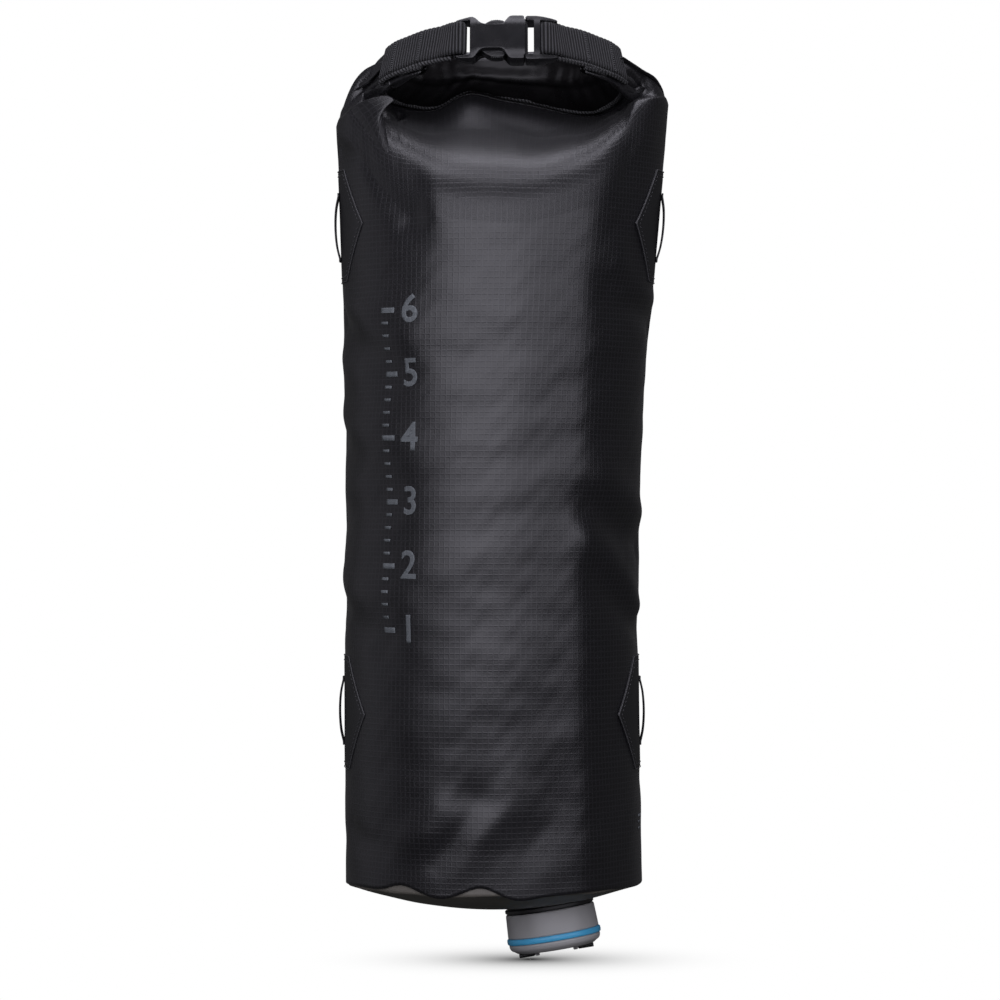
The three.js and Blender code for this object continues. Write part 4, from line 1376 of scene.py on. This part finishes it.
def make_loop(place_name, side_name, angle, height):
    """A low bridge of webbing that stands off the middle of a patch."""
    centre, out = surface_at(np.array([angle]), np.array([height], float))
    centre = centre[0]
    out = unit(np.array([out[0][0], 0, out[0][2]]))
    up = np.array([-out[2] * np.sign(out[0]), 0, abs(out[0])])
    along = np.linspace(-17, 17, 90)
    bow = clamp01(1 - (along / 15.5) ** 2)
    bridge = 0.85 + 2.1 * bow * (1 - 0.15 * bow)
    half_width = 6.0
    corners = rounded_section(20, half_width, 0.42, 0.35, 0.5)
    rings = []
    for across, thick in corners:
        sink = 0.28 * (across / half_width) ** 2 * (1 - smooth((15 - np.abs(along)) / 6))
        rings.append(centre + up * along[:, None] + out * (bridge + thick - sink)[:, None]
                     + np.array([0, across, 0]))
    widths = np.array([across for across, _ in corners])
    cloth = np.stack(np.broadcast_arrays(along[:, None], widths[None]), -1)
    name = f"lash_loop_{place_name}_{side_name}"
    loop = loop_bar(name + "_band", np.stack(rings, 1), PATCH, cloth)
    settle(loop, "bag", "webbing", name)


def hexagon(inset, spacing):
    """Points every spacing round the patch's outline, drawn in by inset: arc and rise."""
    top = PATCH_REACH - PATCH_TAPER
    corners = np.array([[PATCH_REACH, 0], [top, PATCH_RISE], [-top, PATCH_RISE],
                        [-PATCH_REACH, 0], [-top, -PATCH_RISE], [top, -PATCH_RISE]], float)
    corners *= 1 - np.array([inset / 34.4, inset / PATCH_RISE])
    points = []
    for start, end in zip(corners, np.roll(corners, -1, 0)):
        count = max(2, int(np.linalg.norm(end - start) / spacing))
        points.append(start + (end - start) * (np.arange(count) / count)[:, None])
    return np.concatenate(points)


def patch_edge(name, angle, height, inset, lift, radius):
    """The thin bead of weld along the patch's outline, in the lighter thread colour, which paints the
    highlight along the welded edge.
    """
    flat = hexagon(inset, 1.2)
    point, normal = surface_at(angle + flat[:, 0] / RADIUS, height + flat[:, 1])
    path = point + normal * lift
    along = unit(np.roll(path, -1, 0) - np.roll(path, 1, 0))
    side = unit(np.cross(along, normal))
    turn = circle(8)
    rings = path[:, None] + radius * (side[:, None] * np.cos(turn)[:, None]
                                      + normal[:, None] * np.sin(turn)[:, None])
    cloth = np.repeat(flat, 8, 0)
    return loop_bar(name, rings, THREAD_AND_EDGE_HIGHLIGHT, cloth, closed=True)


def patch_stitches(name, angle, height):
    """The row of stitches inside the patch's outline."""
    flat = hexagon(2.6, 0.62)
    point, normal = surface_at(angle + flat[:, 0] / RADIUS, height + flat[:, 1])
    raised = point + normal * 0.36
    rings = []
    for i in range(0, len(flat) - 3, 4):
        rings.append(stitch(raised[i], raised[i + 2], normal[i] * 0.16, 0.16))
    return stitch_row(name, rings)


def make_patches():
    for side_name, angle in (("right", 0.0), ("left", math.pi)):
        for place_name, height in (("upper", PATCH_UPPER), ("lower", PATCH_LOWER)):
            make_patch(place_name, side_name, angle, height)
            make_loop(place_name, side_name, angle, height)


# --- Printed scale: ticks and numerals, in place of the maker's print ---
def on_wall(name, pieces):
    """Flat shapes in (millimetres from the front centre, height), cut small and laid on the wall."""
    spacing = 1.6
    bm = bmesh.new()
    for piece in pieces:
        bm.from_mesh(piece)
        bpy.data.meshes.remove(piece)
    bmesh.ops.remove_doubles(bm, verts=bm.verts, dist=1e-4)
    for axis in (0, 1):
        low = min(v.co[axis] for v in bm.verts)
        high = max(v.co[axis] for v in bm.verts)
        cut_across(bm, axis, np.arange(low + spacing, high, spacing))
    bmesh.ops.triangulate(bm, faces=bm.faces)
    flat = np.array([v.co[:2] for v in bm.verts])
    bm.verts.index_update()
    faces = [[v.index for v in f.verts] for f in bm.faces]
    bm.free()
    point, normal = surface_at(FRONT + flat[:, 0] / RADIUS, flat[:, 1])
    sheet = add_mesh(name, point + normal * 0.22, faces, INK, flat)
    thicken(sheet, 0.12)
    settle(sheet, "bag", "coated_fabric")


def rectangle(x0, x1, y0, y1):
    mesh = bpy.data.meshes.new("tick")
    mesh.from_pydata([(x0, y0, 0), (x1, y0, 0), (x1, y1, 0), (x0, y1, 0)], [], [(0, 1, 2, 3)])
    return mesh


def numeral(text, x, y):
    data = bpy.data.curves.new("numeral", "FONT")
    data.body = text
    data.size = 19
    data.align_x = "CENTER"
    data.align_y = "CENTER"
    data.offset = 0.35
    data.resolution_u = 4
    holder = add_object("numeral", data)
    bpy.context.view_layer.update()
    mesh = bpy.data.meshes.new_from_object(holder.evaluated_get(bpy.context.evaluated_depsgraph_get()))
    bpy.data.objects.remove(holder)
    bpy.data.curves.remove(data)
    mesh.transform(Matrix.Translation((x, y, 0)))
    return mesh


def make_print():
    """Six numbered marks up the left of the front, with short marks between them."""
    shapes = []
    first, step = 166.0, 31.0
    for i in range(6):
        height = first + i * step
        shapes.append(rectangle(-59, -51, height - 1.3, height + 1.3))
        shapes.append(numeral(str(i + 1), -42.5, height))
        if i < 5:
            for j in range(1, 5):
                tick = height + step * j / 5
                shapes.append(rectangle(-59, -54.6, tick - 0.7, tick + 0.7))
    on_wall("capacity_scale", shapes)
    marks = [rectangle(98, 107, 72.5 - 3.2 * k, 73.6 - 3.2 * k) for k in range(3)]
    on_wall("care_marks", marks)


# --- Stage and light ---
def make_stage():
    """A soft shadow under the hanging bag: a disc that is dark in its middle and clear at its rim."""
    rings = 24
    columns = 64
    radius = np.linspace(0.002, 1, rings)[:, None]
    angle = circle(columns)[None]
    points = np.stack(np.broadcast_arrays(13.5 + 130 * radius * np.cos(angle), 85 * radius * np.sin(angle),
                                          z_of(-0.6) + 0 * radius), -1)
    n = Nodes("soft_shadow", (0.02, 0.02, 0.02), 0.9, 0.0)
    span = n.add("ShaderNodeVectorMath", operation="LENGTH")
    # moves the disc's middle to 0 and scales its rim to 1
    spread = n.add("ShaderNodeMapping")
    spread.inputs["Location"].default_value = (-0.104, 0.0, 0.4526)
    spread.inputs["Scale"].default_value = (7.69, 11.76, 1.0)
    n.link(n.place(), spread.inputs["Vector"])
    n.link(spread.outputs["Vector"], span.inputs[0])
    fade = n.math("POWER", n.math("SUBTRACT", 1.0, n.math("MINIMUM", span.outputs["Value"], 1.0)), 3.3)
    grain = n.math("ADD", n.math("MULTIPLY", n.noise(40, 2), 0.06), 0.97)
    n.link(n.math("MULTIPLY", fade, grain), n.shader.inputs["Alpha"])
    shadow = add_mesh("soft_shadow", points.reshape(-1, 3), grid_faces(rings, columns, True), n.material)
    shadow.visible_shadow = False


def area_light(name, location, target, width, height, radiance):
    """A softbox with the given radiance and a slightly cool white."""
    data = bpy.data.lights.new(name, "AREA")
    data.shape = "RECTANGLE"
    data.size = width
    data.size_y = height
    data.color = (1.0, 0.98, 1.1)
    data.energy = radiance * math.pi * width * height
    light = add_object(name, data)
    light.location = location
    light.rotation_euler = (Vector(target) - Vector(location)).to_track_quat("-Z", "Y").to_euler()


def make_light():
    area_light("key", (1.05, -2.05, 0.84), (1.05, 0, 0.84), 6.9, 2.3, 1.55)
    area_light("key_core", (-0.55, -2.0, 0.84), (-0.55, 0, 0.84), 2.3, 2.3, 1.05)
    area_light("fill_left", (-1.9, 0.35, 0.0), (0, 0, -0.1), 1.6, 1.8, 0.22)
    area_light("top", (0.0, 0.15, 1.7), (0, 0, 0), 1.8, 1.2, 3.4)
    world = bpy.data.worlds.new("studio")
    world.use_nodes = True
    tree = world.node_tree
    background = tree.nodes["Background"]
    background.inputs["Color"].default_value = (1, 1, 1, 1)
    background.inputs["Strength"].default_value = 0.05
    seen = tree.nodes.new("ShaderNodeBackground")
    seen.inputs["Color"].default_value = (1, 1, 1, 1)
    seen.inputs["Strength"].default_value = 1.0
    mix = tree.nodes.new("ShaderNodeMixShader")
    ray = tree.nodes.new("ShaderNodeLightPath")
    tree.links.new(ray.outputs["Is Camera Ray"], mix.inputs[0])
    tree.links.new(background.outputs[0], mix.inputs[1])
    tree.links.new(seen.outputs[0], mix.inputs[2])
    tree.links.new(mix.outputs[0], tree.nodes["World Output"].inputs["Surface"])
    bpy.context.scene.world = world
    bpy.context.scene.view_settings.view_transform = "Standard"


make_bag()
make_base()
make_roll()
make_pleat()
make_inner_roll()
make_binding()
make_straps()
make_buckle_female()
make_buckle_male()
make_prong("prong_upper", 1)
make_prong("prong_lower", -1)
make_spout()
make_cap()
make_bail()
make_patches()
make_print()
make_stage()
make_light()
